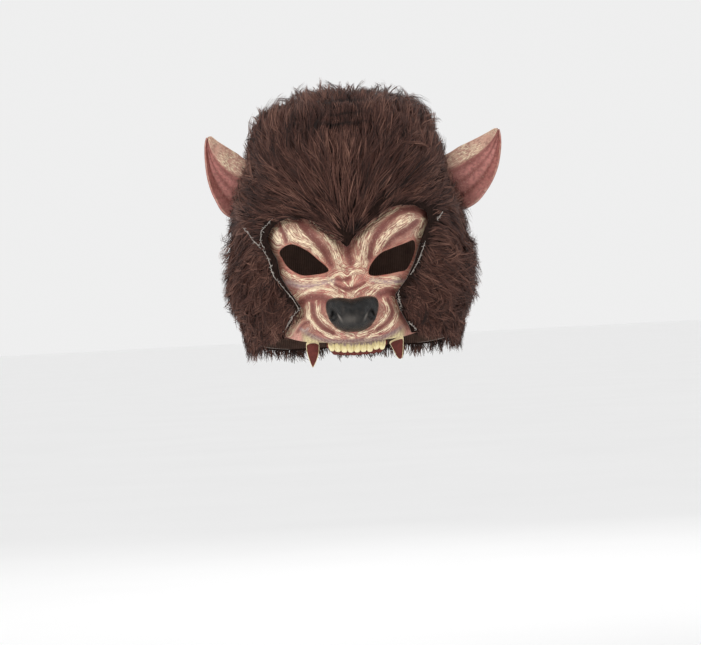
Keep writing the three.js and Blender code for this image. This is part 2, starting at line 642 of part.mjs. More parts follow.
/** The latex face, or the space that it needs when grown by an amount. */
function faceSolid(extra, filled) {
  const half = FACE_HALF + TUCK + 4;
  const top = -FACE_TOP + TUCK + 4;
  const foot = faceZ(1.06);
  const front = [];
  const rear = [];
  const step = 0.4;
  for (let row = 0; row < FACE_RISE; row += 1) {
    const z = mix(top, foot, row / (FACE_RISE - 1));
    for (let i = 0; i < FACE_ACROSS; i += 1) {
      const x = mix(-half, half, i / (FACE_ACROSS - 1));
      const y = faceSurface(x, z);
      const slopeX = (faceSurface(x + step, z) - faceSurface(x - step, z)) / (2 * step);
      const slopeZ = (faceSurface(x, z + step) - faceSurface(x, z - step)) / (2 * step);
      const normal = new THREE.Vector3(slopeX, -1, slopeZ).normalize();
      const at = new THREE.Vector3(x, y, z);
      front.push(at.clone().addScaledVector(normal, extra).toArray());
      const wall = at.clone().addScaledVector(normal, -LATEX_WALL - extra);
      rear.push(filled ? [x, 0, z] : wall.toArray());
    }
  }
  const faces = [];
  const count = front.length;
  for (let row = 0; row < FACE_RISE - 1; row += 1) {
    for (let i = 0; i < FACE_ACROSS - 1; i += 1) {
      const a = row * FACE_ACROSS + i;
      const [b, c, d] = [a + 1, a + FACE_ACROSS + 1, a + FACE_ACROSS];
      const halves = i < FACE_ACROSS / 2 - 1 ? [[a, b, c], [a, c, d]] : [[a, b, d], [b, c, d]];
      for (const [p, q, r] of halves) {
        faces.push([p, r, q], [p + count, q + count, r + count]);
      }
    }
  }
  const rim = [];
  for (let i = 0; i < FACE_ACROSS; i += 1) {
    rim.push(i);
  }
  for (let row = 1; row < FACE_RISE; row += 1) {
    rim.push(row * FACE_ACROSS + FACE_ACROSS - 1);
  }
  for (let i = FACE_ACROSS - 2; i >= 0; i -= 1) {
    rim.push((FACE_RISE - 1) * FACE_ACROSS + i);
  }
  for (let row = FACE_RISE - 2; row > 0; row -= 1) {
    rim.push(row * FACE_ACROSS);
  }
  rim.forEach((a, i) => {
    const b = rim[(i + 1) % rim.length];
    faces.push([a, b, b + count], [a, b + count, a + count]);
  });
  const sheet = solid([...front, ...rear], faces);
  const lip = LIP.map(({ across, down }) => [faceX(across), faceZ(down)]);
  const mirrored = lip.slice(1).map(([x, z]) => [-x, z]);
  const outline = [...mirrored.reverse(), ...lip, [FACE_HALF * 1.15, 0], [-FACE_HALF * 1.15, 0]];
  const tucked = frontPrism(grow(tuckOutline, TUCK + extra), -170, 10);
  return sheet.intersect(tucked).intersect(frontPrism(grow(outline, extra), -170, 10));
}

/** The outline of one eye hole. */
function eyeOutline(side) {
  const sign = side === "left" ? -1 : 1;
  return EYES.filter((row) => row.side === side).map((row) => [
    faceX(sign * row.across),
    faceZ(row.down),
  ]);
}

/** The nose pad: domed over its outline, dipped at the top middle, with two nostrils. */
function nosePad() {
  const right = NOSE_EDGE.map(({ across, down }) => [across, down]);
  const left = right.slice(1, -1).map(([across, down]) => [-across, down]);
  const edge = [...right, ...left.reverse()];
  const rings = [1.0, 0.92, 0.76, 0.55, 0.3];
  const points = [];
  const faces = [];
  const middle = 0.45;
  const place = (across, down, out) => {
    const dome = Math.sqrt(Math.max(0, 1 - out ** 3.2));
    const nostril = Math.hypot((Math.abs(across) - 0.72) / 0.17, (down - 0.55) / 0.17);
    const slit = Math.hypot((Math.abs(across) - 0.9) / 0.2, (down - 0.66) / 0.12);
    const dent = 5 * Math.exp(-(nostril ** 2)) + 4 * Math.exp(-(slit ** 2));
    const groove = 1.4 * Math.exp(-((across / 0.1) ** 2)) * ease(down * 1.6);
    const round = 6.5 * across ** 2 + 7 * Math.max(0, down - 0.4) ** 2;
    const front = NOSE_DEPTH - 13 * (1 - dome) - dent - groove - round;
    return [across * NOSE_HALF, -front, -NOSE_TOP - down * NOSE_DROP];
  };
  rings.forEach((ring) => {
    edge.forEach(([across, down]) => {
      points.push(place(across * ring, mix(middle, down, ring), ring));
    });
  });
  const count = edge.length;
  const tip = points.push(place(0, middle, 0)) - 1;
  edge.forEach(([across, down]) => {
    const low = -NOSE_TOP - mix(middle, down, 0.9) * NOSE_DROP;
    points.push([across * NOSE_HALF * 0.9, -NOSE_ROOT, low]);
  });
  const root = points.push([0, -NOSE_ROOT, -NOSE_TOP - middle * NOSE_DROP]) - 1;
  for (let i = 0; i < count; i += 1) {
    const j = (i + 1) % count;
    for (let ring = 0; ring < rings.length - 1; ring += 1) {
      const a = ring * count + i;
      const b = ring * count + j;
      faces.push([a, a + count, b + count], [a, b + count, b]);
    }
    const inner = (rings.length - 1) * count;
    faces.push([inner + i, tip, inner + j]);
    const base = tip + 1;
    faces.push([base + i, i, j], [base + i, j, base + j], [root, base + i, base + j]);
  }
  return solid(points, faces);
}

/** A small lofted tooth: rows of [share down, width share, thickness share]. */
function tooth(at, tip, width, thick, rows, dish) {
  const sides = 6;
  const points = [];
  const faces = [];
  rows.forEach(([down, wide, deep]) => {
    for (let i = 0; i < sides; i += 1) {
      const turn = ((i + 0.5) / sides) * 2 * Math.PI;
      const front = -Math.sin(turn) > 0.5 ? dish * wide : 0;
      const x = mix(at[0], tip[0], down) + Math.cos(turn) * 0.5 * width * wide * 1.08;
      const y = mix(at[1], tip[1], down) + Math.sin(turn) * 0.5 * thick * deep + front;
      points.push([x, y, mix(at[2], tip[2], down)]);
    }
  });
  const last = (rows.length - 1) * sides;
  const top = points.push([at[0], at[1], at[2]]) - 1;
  const end = points.push(mix3(at, tip, rows[rows.length - 1][0])) - 1;
  for (let i = 0; i < sides; i += 1) {
    const j = (i + 1) % sides;
    faces.push([top, i, j], [end, last + j, last + i]);
    for (let row = 0; row < rows.length - 1; row += 1) {
      const a = row * sides + i;
      const b = row * sides + j;
      faces.push([a, a + sides, b + sides], [a, b + sides, b]);
    }
  }
  return solid(points, faces);
}

const mix3 = (from, to, share) => from.map((value, i) => mix(value, to[i], share));

/** The front row of teeth, fused by a gum bar behind the lip. */
function toothRow() {
  const pitch = TOOTH_ROW / TOOTH_COUNT;
  const start = TOOTH_SHIFT - TOOTH_ROW / 2;
  const level = (x) => -faceDrop(0.968) + 0.004 * (x - TOOTH_SHIFT) ** 2;
  const front = (x) => faceSurface(x, -faceDrop(0.95));
  const bar = [];
  const faces = [];
  const steps = 6;
  for (let i = 0; i <= steps; i += 1) {
    const x = start + (i / steps) * TOOTH_ROW;
    const y = front(x) + LATEX_WALL;
    const z = level(x);
    bar.push([x, y + 0.2, z + 3], [x, y + 3.4, z + 3], [x, y + 3.2, z - 2.4], [x, y - 0.2, z - 2.4]);
  }
  for (let i = 0; i < steps; i += 1) {
    for (let k = 0; k < 4; k += 1) {
      const a = i * 4 + k;
      const b = i * 4 + ((k + 1) % 4);
      faces.push([a, a + 4, b + 4], [a, b + 4, b]);
    }
  }
  const end = steps * 4;
  faces.push([0, 1, 2], [0, 2, 3], [end, end + 2, end + 1], [end, end + 3, end + 2]);
  let row = solid(bar, faces);
  const shape = [
    [0.3, 1.0, 1],
    [0.88, 0.94, 0.75],
    [1, 0.55, 0.4],
  ];
  for (let i = 0; i < TOOTH_COUNT; i += 1) {
    const x = start + (i + 0.5) * pitch;
    const y = front(x) + LATEX_WALL * 0.5 + 0.9;
    const drop = TOOTH_DROP * (1 - 0.12 * (i % 2));
    const at = [x, y, level(x) + 1.2];
    const tip = [x, y + 0.6, level(x) + 1.2 - drop];
    row = row.add(tooth(at, tip, pitch * 1.03, TOOTH_THICK, shape, 0));
  }
  return row;
}

/** How far below the origin a share down the face lies. */
function faceDrop(down) {
  return FACE_TOP + down * FACE_DROP;
}

/** A fang: flat, tapered to its tip, dished in front inside a thin rim. */
function fang({ side, out, down, lean, long }) {
  const x = faceX(side * out);
  const z = faceZ(down);
  const y = faceSurface(x + side * 0.55 * FANG_WIDTH, z) + LATEX_WALL * 1.6;
  const shape = [
    [0, 0.86, 1],
    [0.2, 1.0, 1],
    [0.42, 0.86, 0.92],
    [0.66, 0.6, 0.75],
    [0.88, 0.3, 0.5],
    [1, 0.1, 0.25],
  ];
  const tip = [x + side * lean, y + 1.2, z - long];
  return tooth([x, y, z + 1], tip, FANG_WIDTH, FANG_THICK, shape, 1.1);
}

/** One ear: a dished leaf with a band rolled forward along its top edge. */
function ear(rows, side, extra) {
  const along = 8;
  const last = rows.length - 1;
  const stops = [0, 0.22, 0.48, 0.76, 1, 1.14, 1.5, 2];
  if (extra > 0) {
    stops.unshift(-0.07 * extra);
    stops.push(2 + 0.12 * extra);
  }
  const across = stops.length;
  const shape = (place, stop) => {
    const value = (key) => column(rows, key, place);
    const narrow = 1 - ease(place / last) * 0.75;
    const roll = value("roll");
    const share = stop < 1 ? stop * (1 - roll) : 1 - roll + (stop - 1) * roll;
    const out = mix(value("edgeOut"), value("topOut"), share);
    const down = mix(value("edgeDown"), value("topDown"), share);
    const bowl = stop < 1 ? Math.sin(Math.PI * Math.max(0, stop)) * EAR_BOWL : 0;
    const rolled = stop > 1 ? Math.cos(Math.min(1, stop - 1) * Math.PI * 0.5) * EAR_ROLL : 0;
    const back = value("back") + (bowl - rolled) * narrow - 3 * share;
    return new THREE.Vector3(side * out, back, -down);
  };
  const grid = [];
  for (let i = 0; i < along; i += 1) {
    grid.push(stops.map((stop) => shape((i / (along - 1)) * last, stop)));
  }
  const front = [];
  const rear = [];
  grid.forEach((line, i) => {
    line.forEach((at, k) => {
      const run = grid[Math.min(i + 1, along - 1)][k].clone().sub(grid[Math.max(i - 1, 0)][k]);
      const rise = line[Math.min(k + 1, across - 1)].clone().sub(line[Math.max(k - 1, 0)]);
      const normal = run.cross(rise).multiplyScalar(side).normalize();
      const thin = mix(1, 0.55, (i / (along - 1)) ** 2);
      front.push(at.clone().addScaledVector(normal, extra).toArray());
      rear.push(at.clone().addScaledVector(normal, -EAR_WALL * thin - extra).toArray());
    });
  });
  const faces = [];
  const count = front.length;
  const put = (a, b, c) => faces.push(side > 0 ? [a, b, c] : [a, c, b]);
  for (let i = 0; i < along - 1; i += 1) {
    for (let k = 0; k < across - 1; k += 1) {
      const a = i * across + k;
      const [b, c, d] = [a + 1, a + across + 1, a + across];
      put(a, c, b);
      put(a, d, c);
      put(a + count, b + count, c + count);
      put(a + count, c + count, d + count);
    }
  }
  const rim = [];
  for (let k = 0; k < across; k += 1) {
    rim.push(k);
  }
  for (let i = 1; i < along; i += 1) {
    rim.push(i * across + across - 1);
  }
  for (let k = across - 2; k >= 0; k -= 1) {
    rim.push((along - 1) * across + k);
  }
  for (let i = along - 2; i > 0; i -= 1) {
    rim.push(i * across);
  }
  rim.forEach((a, i) => {
    const b = rim[(i + 1) % rim.length];
    put(a, b, b + count);
    put(a, b + count, a + count);
  });
  return solid([...front, ...rear], faces);
}

/** A mesh of a solid, with its own material. */
function asMesh(name, body, look) {
  const { vertProperties, triVerts, numProp } = body.getMesh();
  const geometry = new THREE.BufferGeometry();
  const positions = new Float32Array((vertProperties.length / numProp) * 3);
  for (let i = 0; i < positions.length / 3; i += 1) {
    positions.set(vertProperties.subarray(i * numProp, i * numProp + 3), i * 3);
  }
  geometry.setAttribute("position", new THREE.BufferAttribute(positions, 3));
  geometry.setIndex(new THREE.BufferAttribute(new Uint32Array(triVerts), 1));
  geometry.computeVertexNormals();
  const mesh = new THREE.Mesh(geometry, new THREE.MeshStandardMaterial(look));
  mesh.name = name;
  return mesh;
}

const LATEX = { color: 0x9c5f55, roughness: 0.62, metalness: 0 };
const FUR = { color: 0x4a302a, roughness: 0.9, metalness: 0 };
const LOOKS = {
  backing: { color: 0xcfc8c0, roughness: 0.95, metalness: 0 },
  nose: { color: 0x2c2624, roughness: 0.38, metalness: 0 },
  teeth: { color: 0xd9c08c, roughness: 0.5, metalness: 0 },
  fang: { color: 0x6b3329, roughness: 0.6, metalness: 0 },
};

const mask = new THREE.Group();
mask.name = "werewolf_mask";

const hollow = headSpace(0);
const backed = headSpace(BACKING_WALL);
const furFloor = headSpace(BACKING_WALL + AIR);
const opening = frontPrism(openingOutline, -170, 0);
const furOpening = frontPrism(grow(openingOutline, PILE_SETBACK), -170, 0);

const backing = backed.subtract(hollow).subtract(opening).intersect(aboveRim(0));
mask.add(asMesh("hood_backing", backing, LOOKS.backing));

const ears = {};
for (const [name, rows] of Object.entries(EAR_ROWS)) {
  const side = name === "ear_left" ? -1 : 1;
  ears[name] = ear(rows, side, 0).subtract(furFloor);
  ears[`${name}_space`] = ear(rows, side, 2.2 * AIR);
}

const pile = headSpace((place, turn) => BACKING_WALL + AIR + pileDepth(place, turn));
const skin = pile.subtract(furOpening).intersect(aboveRim(1.5));
const crownSkin = skin.subtract(cheekSide(-1, 0)).subtract(cheekSide(1, 0));
const finish = (fur) =>
  fur
    .subtract(furFloor)
    .subtract(ears.ear_left_space)
    .subtract(ears.ear_right_space);
mask.add(asMesh("crown_fur", finish(withLocks(crownSkin, false, 0)), FUR));
for (const side of [-1, 1]) {
  const panel = withLocks(skin.intersect(cheekSide(side, SEAM_GAP)), true, side);
  mask.add(asMesh(side < 0 ? "cheek_fur_left" : "cheek_fur_right", finish(panel), FUR));
}

const holes = ["left", "right"].map((side) => frontPrism(eyeOutline(side), -170, 10));
const face = faceSolid(0, false).subtract(holes[0]).subtract(holes[1]);
mask.add(asMesh("face_shell", face, LATEX));

const faceSpace = faceSolid(AIR, false);
mask.add(asMesh("nose", nosePad().subtract(faceSolid(AIR, true)), LOOKS.nose));
mask.add(asMesh("upper_teeth", toothRow().subtract(faceSpace), LOOKS.teeth));
for (const [name, row] of Object.entries(FANGS)) {
  mask.add(asMesh(name, fang(row).subtract(faceSpace), LOOKS.fang));
}
for (const name of Object.keys(EAR_ROWS)) {
  mask.add(asMesh(name, ears[name], LATEX));
}

export default mask;
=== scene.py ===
"""Werewolf mask: a fur hood with latex face, nose, teeth, fangs and ears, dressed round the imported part.

Forms are worked out in millimetres, in the part's own frame: +Z up, the face looks to -Y, and the
origin is inside the top of the crown. Meshes are made in metres.
"""

import logging
import math
from collections.abc import Callable, Sequence
from dataclasses import dataclass, field
from enum import Enum
from typing import NamedTuple

import bpy
import numpy as np
from mathutils import Matrix, Vector


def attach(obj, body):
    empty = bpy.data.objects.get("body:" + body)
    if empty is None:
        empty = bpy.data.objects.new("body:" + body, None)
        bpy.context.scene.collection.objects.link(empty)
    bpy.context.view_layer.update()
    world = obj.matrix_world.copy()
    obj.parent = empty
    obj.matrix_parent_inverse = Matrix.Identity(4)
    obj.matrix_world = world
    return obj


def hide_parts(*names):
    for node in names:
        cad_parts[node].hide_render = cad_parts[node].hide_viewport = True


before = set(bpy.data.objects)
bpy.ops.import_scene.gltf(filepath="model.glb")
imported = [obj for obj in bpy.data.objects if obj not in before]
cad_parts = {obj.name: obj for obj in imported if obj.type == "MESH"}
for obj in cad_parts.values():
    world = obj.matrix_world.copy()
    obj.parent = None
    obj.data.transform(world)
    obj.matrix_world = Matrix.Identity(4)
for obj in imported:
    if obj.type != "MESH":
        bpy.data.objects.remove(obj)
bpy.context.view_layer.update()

Array = np.ndarray
Socket = bpy.types.NodeSocket
Tone = tuple[int, int, int]
LOG = logging.getLogger("werewolf_mask")

MM = 0.001
FULL_TURN = 2 * math.pi
ROOT_BODY = "root"
SEED = 20

# The walls, the air kept between pieces, and the pile of the fur.
BACKING_WALL = 2.0
LATEX_WALL = 2.2
AIR = 0.35
PILE = 14.5
PILE_EDGE = 3.2
PILE_FADE = 34.0

# How far down the hood's rim lies in front and behind, and where in Y it falls between the two.
RIM_FRONT = 174.0
RIM_BACK = 184.0
RIM_SPAN = (-20.0, 60.0)

# Farther out than any part of the mask, for cutters.
FAR = 170.0

# The face: its top edge, its drop to the lip, half width and forward reach.
FACE_TOP = 77.0
FACE_DROP = 107.0
FACE_HALF = 62.0
FACE_DEPTH = 126.0
NOSE_HALF = 19.0
NOSE_DROP = 26.0
NOSE_TOP = FACE_TOP + 0.645 * FACE_DROP
NOSE_DEPTH = FACE_DEPTH + 12.0


class Side(Enum):
    """The viewer's side of the mask."""

    LEFT = -1
    RIGHT = 1


class Paint(Enum):
    """What a stroke of the painted relief is: a dry-brushed ridge, or a groove darkened with painted
    shade.
    """

    CREAM = "cream"
    ROSE = "rose"
    LILAC = "lilac"


class HeadRow(NamedTuple):
    """A level of the head form, as shares of its drop, half width and depths."""

    down: float
    half: float
    front: float
    back: float
    square: float


HEAD_ROWS = tuple(HeadRow(*values) for values in (
    (0.0, 0.0, 0.0, 0.0, 2.1),
    (0.016, 0.34, 0.33, 0.34, 2.1),
    (0.067, 0.67, 0.65, 0.67, 2.15),
    (0.156, 0.79, 0.84, 0.86, 2.2),
    (0.271, 0.89, 0.94, 0.96, 2.2),
    (0.396, 0.975, 0.99, 1.0, 2.25),
    (0.521, 1.0, 1.0, 1.0, 2.3),
    (0.646, 1.0, 0.97, 0.95, 2.45),
    (0.781, 0.98, 0.935, 0.83, 2.6),
    (1.0, 0.93, 0.9, 0.69, 2.6),
))


class PileRow(NamedTuple):
    """Depth of pile at a level of the head, as a share of the full pile."""

    down: float
    depth: float


PILE_ROWS = (
    PileRow(0.0, 1.08),
    PileRow(0.2, 1.0),
    PileRow(0.5, 1.03),
    PileRow(0.8, 1.0),
    PileRow(1.0, 0.92),
)


class SeamPoint(NamedTuple):
    """A corner of the seam between the crown and a cheek panel, seen from the side."""

    y: float
    z: float


SEAM_FRONT = SeamPoint(-66.0, -108.0)
SEAM_TOP = SeamPoint(-8.0, -84.0)
SEAM_REAR = SeamPoint(28.0, -84.0)
SEAM_FOOT = SeamPoint(34.0, -210.0)


class Crease(NamedTuple):
    """A gather of the fur over the forehead: its level, middle, half width, half length and depth, which
    also sets its painted shade.
    """

    level: float
    middle: float
    wide: float
    long: float
    deep: float


CREASES = (
    Crease(-14.3, -2.0, 1.5, 20.0, 0.85),
    Crease(-6.2, 2.0, 1.1, 14.0, 0.7),
    Crease(5.2, 1.0, 1.4, 16.0, 0.8),
)


class OpeningRow(NamedTuple):
    """A pair of points of the face opening, as shares of the face's half width and drop."""

    left: float
    left_down: float
    right: float
    right_down: float


OPENING = tuple(OpeningRow(*values) for values in (
    (0.03, 0.29, 0.0, 0.28),
    (0.075, 0.265, 0.045, 0.235),
    (0.14, 0.225, 0.11, 0.19),
    (0.25, 0.145, 0.25, 0.13),
    (0.39, 0.105, 0.37, 0.078),
    (0.54, 0.072, 0.5, 0.03),
    (0.69, 0.06, 0.65, 0.01),
    (0.83, 0.078, 0.82, 0.014),
    (0.94, 0.13, 0.97, 0.06),
    (0.99, 0.19, 0.99, 0.13),
    (0.96, 0.27, 0.93, 0.2),
    (0.89, 0.34, 0.86, 0.29),
    (0.86, 0.46, 0.78, 0.42),
    (0.77, 0.56, 0.68, 0.53),
    (0.62, 0.7, 0.53, 0.64),
    (0.69, 0.76, 0.57, 0.74),
    (0.84, 0.89, 0.68, 0.87),
    (0.94, 1.2, 0.84, 1.2),
))


class FaceRow(NamedTuple):
    """Forward depth of the face at six stations out from the middle, as shares of its reach."""

    down: float
    mid: float
    near: float
    inner: float
    outer: float
    far: float
    edge: float


STATIONS = (0.0, 0.19, 0.39, 0.58, 0.77, 1.0)
FACE_ROWS = tuple(FaceRow(*values) for values in (
    (0.0, 0.757, 0.757, 0.75, 0.722, 0.66, 0.53),
    (0.15, 0.77, 0.786, 0.794, 0.766, 0.69, 0.545),
    (0.26, 0.782, 0.806, 0.81, 0.778, 0.7, 0.55),
    (0.34, 0.782, 0.786, 0.762, 0.72, 0.665, 0.545),
    (0.42, 0.778, 0.766, 0.722, 0.682, 0.63, 0.535),
    (0.51, 0.802, 0.786, 0.738, 0.698, 0.632, 0.53),
    (0.58, 0.857, 0.833, 0.77, 0.714, 0.628, 0.52),
    (0.66, 0.944, 0.91, 0.81, 0.722, 0.62, 0.51),
    (0.75, 1.0, 0.968, 0.857, 0.738, 0.615, 0.5),
    (0.84, 0.992, 0.97, 0.889, 0.77, 0.62, 0.49),
    (0.93, 0.96, 0.944, 0.893, 0.794, 0.63, 0.48),
    (1.05, 0.925, 0.916, 0.88, 0.794, 0.635, 0.47),
))


class LipPoint(NamedTuple):
    """A point of the face's lower lip edge, from the middle out."""

    across: float
    down: float


LIP = (
    LipPoint(0.0, 0.968),
    LipPoint(0.38, 0.952),
    LipPoint(0.62, 0.938),
    LipPoint(0.86, 0.9),
    LipPoint(1.15, 0.84),
)

# The cut eye holes, from the outer corner over the top to the inner corner and back.
EYES = {
    Side.LEFT: (
        (0.85, 0.29), (0.705, 0.25), (0.53, 0.295), (0.41, 0.355), (0.26, 0.45),
        (0.47, 0.475), (0.61, 0.468), (0.75, 0.415), (0.82, 0.35),
    ),
    Side.RIGHT: (
        (0.795, 0.265), (0.69, 0.282), (0.5, 0.318), (0.37, 0.35), (0.26, 0.417),
        (0.22, 0.486), (0.32, 0.504), (0.59, 0.483), (0.7, 0.459), (0.8, 0.341),
    ),
}

# The nose pad from the top middle round to the bottom, as shares of its half width and drop.
NOSE_EDGE = (
    (0.0, 0.055), (0.3, 0.02), (0.62, 0.0), (0.93, 0.05), (1.04, 0.22),
    (1.0, 0.44), (0.87, 0.68), (0.64, 0.88), (0.34, 0.98), (0.0, 1.0),
)


class Stroke(NamedTuple):
    """A painted ridge or groove of the face: its half width, its height and its line in X and Z."""

    paint: Paint
    wide: float
    high: float
    line: tuple[tuple[float, float], ...]


STROKES = tuple(Stroke(*values) for values in (
    (Paint.CREAM, 3.0, 2.2, ((-49, -87), (-43, -97), (-35, -103), (-27, -107), (-20, -118))),
    (Paint.ROSE, 2.2, -1.8, ((-38, -85), (-29, -97), (-20, -109), (-14.5, -121))),
    (Paint.CREAM, 2.8, 2.2, ((-24, -88), (-16, -97.5), (-10.5, -109), (-7, -122))),
    (Paint.CREAM, 1.4, 1.0, ((-39, -89), (-34, -97), (-26, -105))),
    (Paint.ROSE, 2.0, -1.6, ((-1, -107), (-0.5, -114), (1, -121))),
    (Paint.CREAM, 3.2, 1.4, ((-61, -92), (-57, -94), (-53, -100))),
    (Paint.ROSE, 1.1, -0.8, ((-52, -87), (-49, -95), (-47, -101))),
    (Paint.CREAM, 1.5, 1.0, ((-51, -124), (-42, -130), (-31, -132), (-17, -132))),
    (Paint.LILAC, 1.8, -0.9, ((-48, -132), (-36, -136), (-25, -135), (-14, -133))),
    (Paint.CREAM, 2.1, 2.0, ((-43, -145), (-34, -140), (-25, -139), (-16, -141), (-8, -146))),
    (Paint.ROSE, 2.6, -2.0, ((-40, -149), (-32, -145), (-24, -145), (-18, -148))),
    (Paint.CREAM, 1.2, 1.3, ((-26, -148), (-26, -157), (-19, -166), (-10, -172), (-1, -175))),
    (Paint.CREAM, 1.3, 1.5, ((-33, -149), (-33, -158), (-28, -167), (-19, -173), (-11, -176))),
    (Paint.ROSE, 1.5, -1.1, ((-30, -150), (-29, -158), (-23, -167), (-15, -172))),
    # Painted shadow: the dark hook at the left corner of the mouth.
    (Paint.ROSE, 0.9, -1.4, ((-33, -163), (-38, -165), (-42, -170))),
    # Painted highlight: the grey glint beside it.
    (Paint.LILAC, 0.8, 0.7, ((-39.5, -168), (-36, -169.5), (-34, -168))),
    (Paint.CREAM, 1.7, 1.2, ((-40, -155), (-44, -163), (-49, -171))),
    (Paint.CREAM, 1.5, 1.3, ((15, -95), (21, -90), (28, -86), (38, -81))),
    (Paint.CREAM, 3.0, 2.2, ((14, -97), (10.5, -107), (9, -121))),
    (
        Paint.ROSE, 1.9, -1.7,
        ((15, -117), (18, -106), (23, -98), (31, -89.5), (41, -83), (54, -82), (61, -86)),
    ),
    (Paint.CREAM, 3.0, 2.3, ((20, -114), (26, -105), (36, -96), (47, -88.5))),
    (Paint.ROSE, 1.7, -1.7, ((27, -111), (32, -104.5), (43, -98), (52, -91.5))),
    (Paint.CREAM, 2.5, 1.6, ((54, -101), (57, -96), (59, -91))),
    (Paint.CREAM, 1.8, 1.6, ((-9, -119), (-4, -123), (1, -124), (7, -122))),
    (Paint.CREAM, 1.4, 1.5, ((-15, -131), (-8, -128), (-3, -131), (2, -128), (9, -127))),
    (Paint.ROSE, 1.3, -1.3, ((-10, -132), (-5, -133), (-1, -132))),
    (Paint.CREAM, 1.3, 1.3, ((-17, -132), (-10, -138), (-3, -143), (1, -146))),
    (Paint.CREAM, 1.3, 1.3, ((19, -134), (9, -138), (2, -143), (-1, -146))),
    (Paint.ROSE, 1.4, -1.0, ((-12, -136), (-4, -140), (3, -139), (10, -136))),
    (Paint.CREAM, 1.0, 0.9, ((4, -128), (1.5, -134), (-1, -140))),
    (Paint.CREAM, 0.8, 0.7, ((-7, -131), (-4, -136), (0, -141))),
    (Paint.CREAM, 1.4, 1.2, ((13, -130), (24, -133), (36, -134))),
    (Paint.LILAC, 1.4, -0.8, ((16, -134), (26, -136), (40, -136))),
    (Paint.CREAM, 1.9, 1.8, ((13, -145), (19, -140), (27, -138), (38, -140))),
    (Paint.ROSE, 2.3, -1.6, ((22, -145), (29, -143), (36, -145))),
    (Paint.CREAM, 1.2, 1.3, ((24, -148), (27, -157), (22, -165), (13, -171), (4, -174))),
    (Paint.CREAM, 1.3, 1.3, ((30, -149), (33, -158), (29, -167), (21, -173), (11, -176))),
    (Paint.ROSE, 1.3, -1.0, ((27, -149), (30, -158), (26, -166), (18, -171))),
    (Paint.ROSE, 1.7, -1.0, ((37, -160), (41, -167), (48, -174))),
))


class EarRow(NamedTuple):
    """A section of an ear: its top edge and outer edge, how far back it stands and its roll."""

    top_out: float
    top_down: float
    edge_out: float
    edge_down: float
    back: float
    roll: float


EAR_ROWS = {
    Side.LEFT: (
        EarRow(60, 34, 74, 82, 12, 0.32),
        EarRow(76, 33, 94, 75, 12, 0.36),
        EarRow(84, 27.5, 102, 63, 11, 0.42),
        EarRow(92, 22, 107, 48, 9, 0.48),
        EarRow(99, 17, 108.5, 32, 7, 0.55),
        EarRow(104.5, 12, 108.2, 16, 5, 0.6),
    ),
    Side.RIGHT: (
        EarRow(60, 40, 74, 84, 12, 0.28),
        EarRow(79, 37, 98, 77, 12, 0.3),
        EarRow(91, 31, 110, 66, 11, 0.34),
        EarRow(102, 26.5, 119, 50, 9, 0.4),
        EarRow(113, 21.5, 122.5, 34, 7, 0.46),
        EarRow(120.5, 17.5, 123, 21, 5, 0.5),
    ),
}


def mix(start: Array | float, end: Array | float, share: Array | float) -> Array | float:
    """A value part of the way from start to end."""
    return start + (end - start) * share


def ease(share: Array | float) -> Array:
    """A share from 0 to 1 that starts and ends gently."""
    held = np.clip(share, 0.0, 1.0)
    return held * held * (3.0 - 2.0 * held)


def bell(distance: Array | float, wide: float) -> Array:
    """1 at no distance, falling away over a half width."""
    return np.exp(-((distance / wide) ** 2))


def unit(vectors: Array) -> Array:
    """Vectors made one long."""
    return vectors / np.maximum(np.linalg.norm(vectors, axis=-1, keepdims=True), 1e-9)


def through(a: Array, b: Array, c: Array, d: Array, share: Array) -> Array:
    """A smooth value between b and c, with a and d as its outer neighbours."""
    bend = 2 * a - 5 * b + 4 * c - d
    return 0.5 * (2 * b + (c - a) * share + bend * share**2 + (3 * b - a - 3 * c + d) * share**3)


def column(values: Sequence[float], place: Array, start: float | None = None) -> Array:
    """Smooth values between the rows of a table's column."""
    held = np.clip(place, 0.0, len(values) - 1 - 1e-9)
    index = held.astype(int)
    first = 2 * values[0] - values[1] if start is None else start
    padded = np.array([first, *values, 2 * values[-1] - values[-2]])
    near = [padded[index + step] for step in range(4)]
    return through(*near, held - index)


def read_rows(rows: Sequence[tuple], name: str, place: Array, start: float | None = None) -> Array:
    """Smooth values of one named column of a table."""
    return column([getattr(row, name) for row in rows], place, start)


def smooth_line(points: Sequence[Sequence[float]], steps: int, closed: bool = False) -> Array:
    """A smooth line through points."""
    line = np.array(points, float)
    if closed:
        padded = np.vstack([line[-1], line, line[0], line[1]])
        spans = len(line)
    else:
        padded = np.vstack([2 * line[0] - line[1], line, 2 * line[-1] - line[-2]])
        spans = len(line) - 1
    share = np.linspace(0.0, 1.0, steps, endpoint=False)[:, None]
    parts = [through(*padded[i : i + 4, None, :], share) for i in range(spans)]
    if not closed:
        parts.append(line[-1:])
    return np.vstack(parts)


def to_line(x: Array, z: Array, line: Array) -> tuple[Array, Array, Array]:
    """Measures points against a line in the front view.

    Args:
        x: Places across.
        z: Heights.
        line: The line's points in X and Z.

    Returns:
        The distance, the side-signed distance, and how far along the line each point lies.
    """
    nearest = np.full(x.shape, np.inf)
    signed = np.zeros(x.shape)
    along = np.zeros(x.shape)
    run = 0.0
    for (ax, az), (bx, bz) in zip(line[:-1], line[1:]):
        span = math.hypot(bx - ax, bz - az)
        share = np.clip(((x - ax) * (bx - ax) + (z - az) * (bz - az)) / span**2, 0.0, 1.0)
        away = np.hypot(x - mix(ax, bx, share), z - mix(az, bz, share))
        closer = away < nearest
        turn = np.sign((bx - ax) * (z - az) - (bz - az) * (x - ax))
        nearest = np.where(closer, away, nearest)
        signed = np.where(closer, away * turn, signed)
        along = np.where(closer, run + share * span, along)
        run += span
    return nearest, signed, along


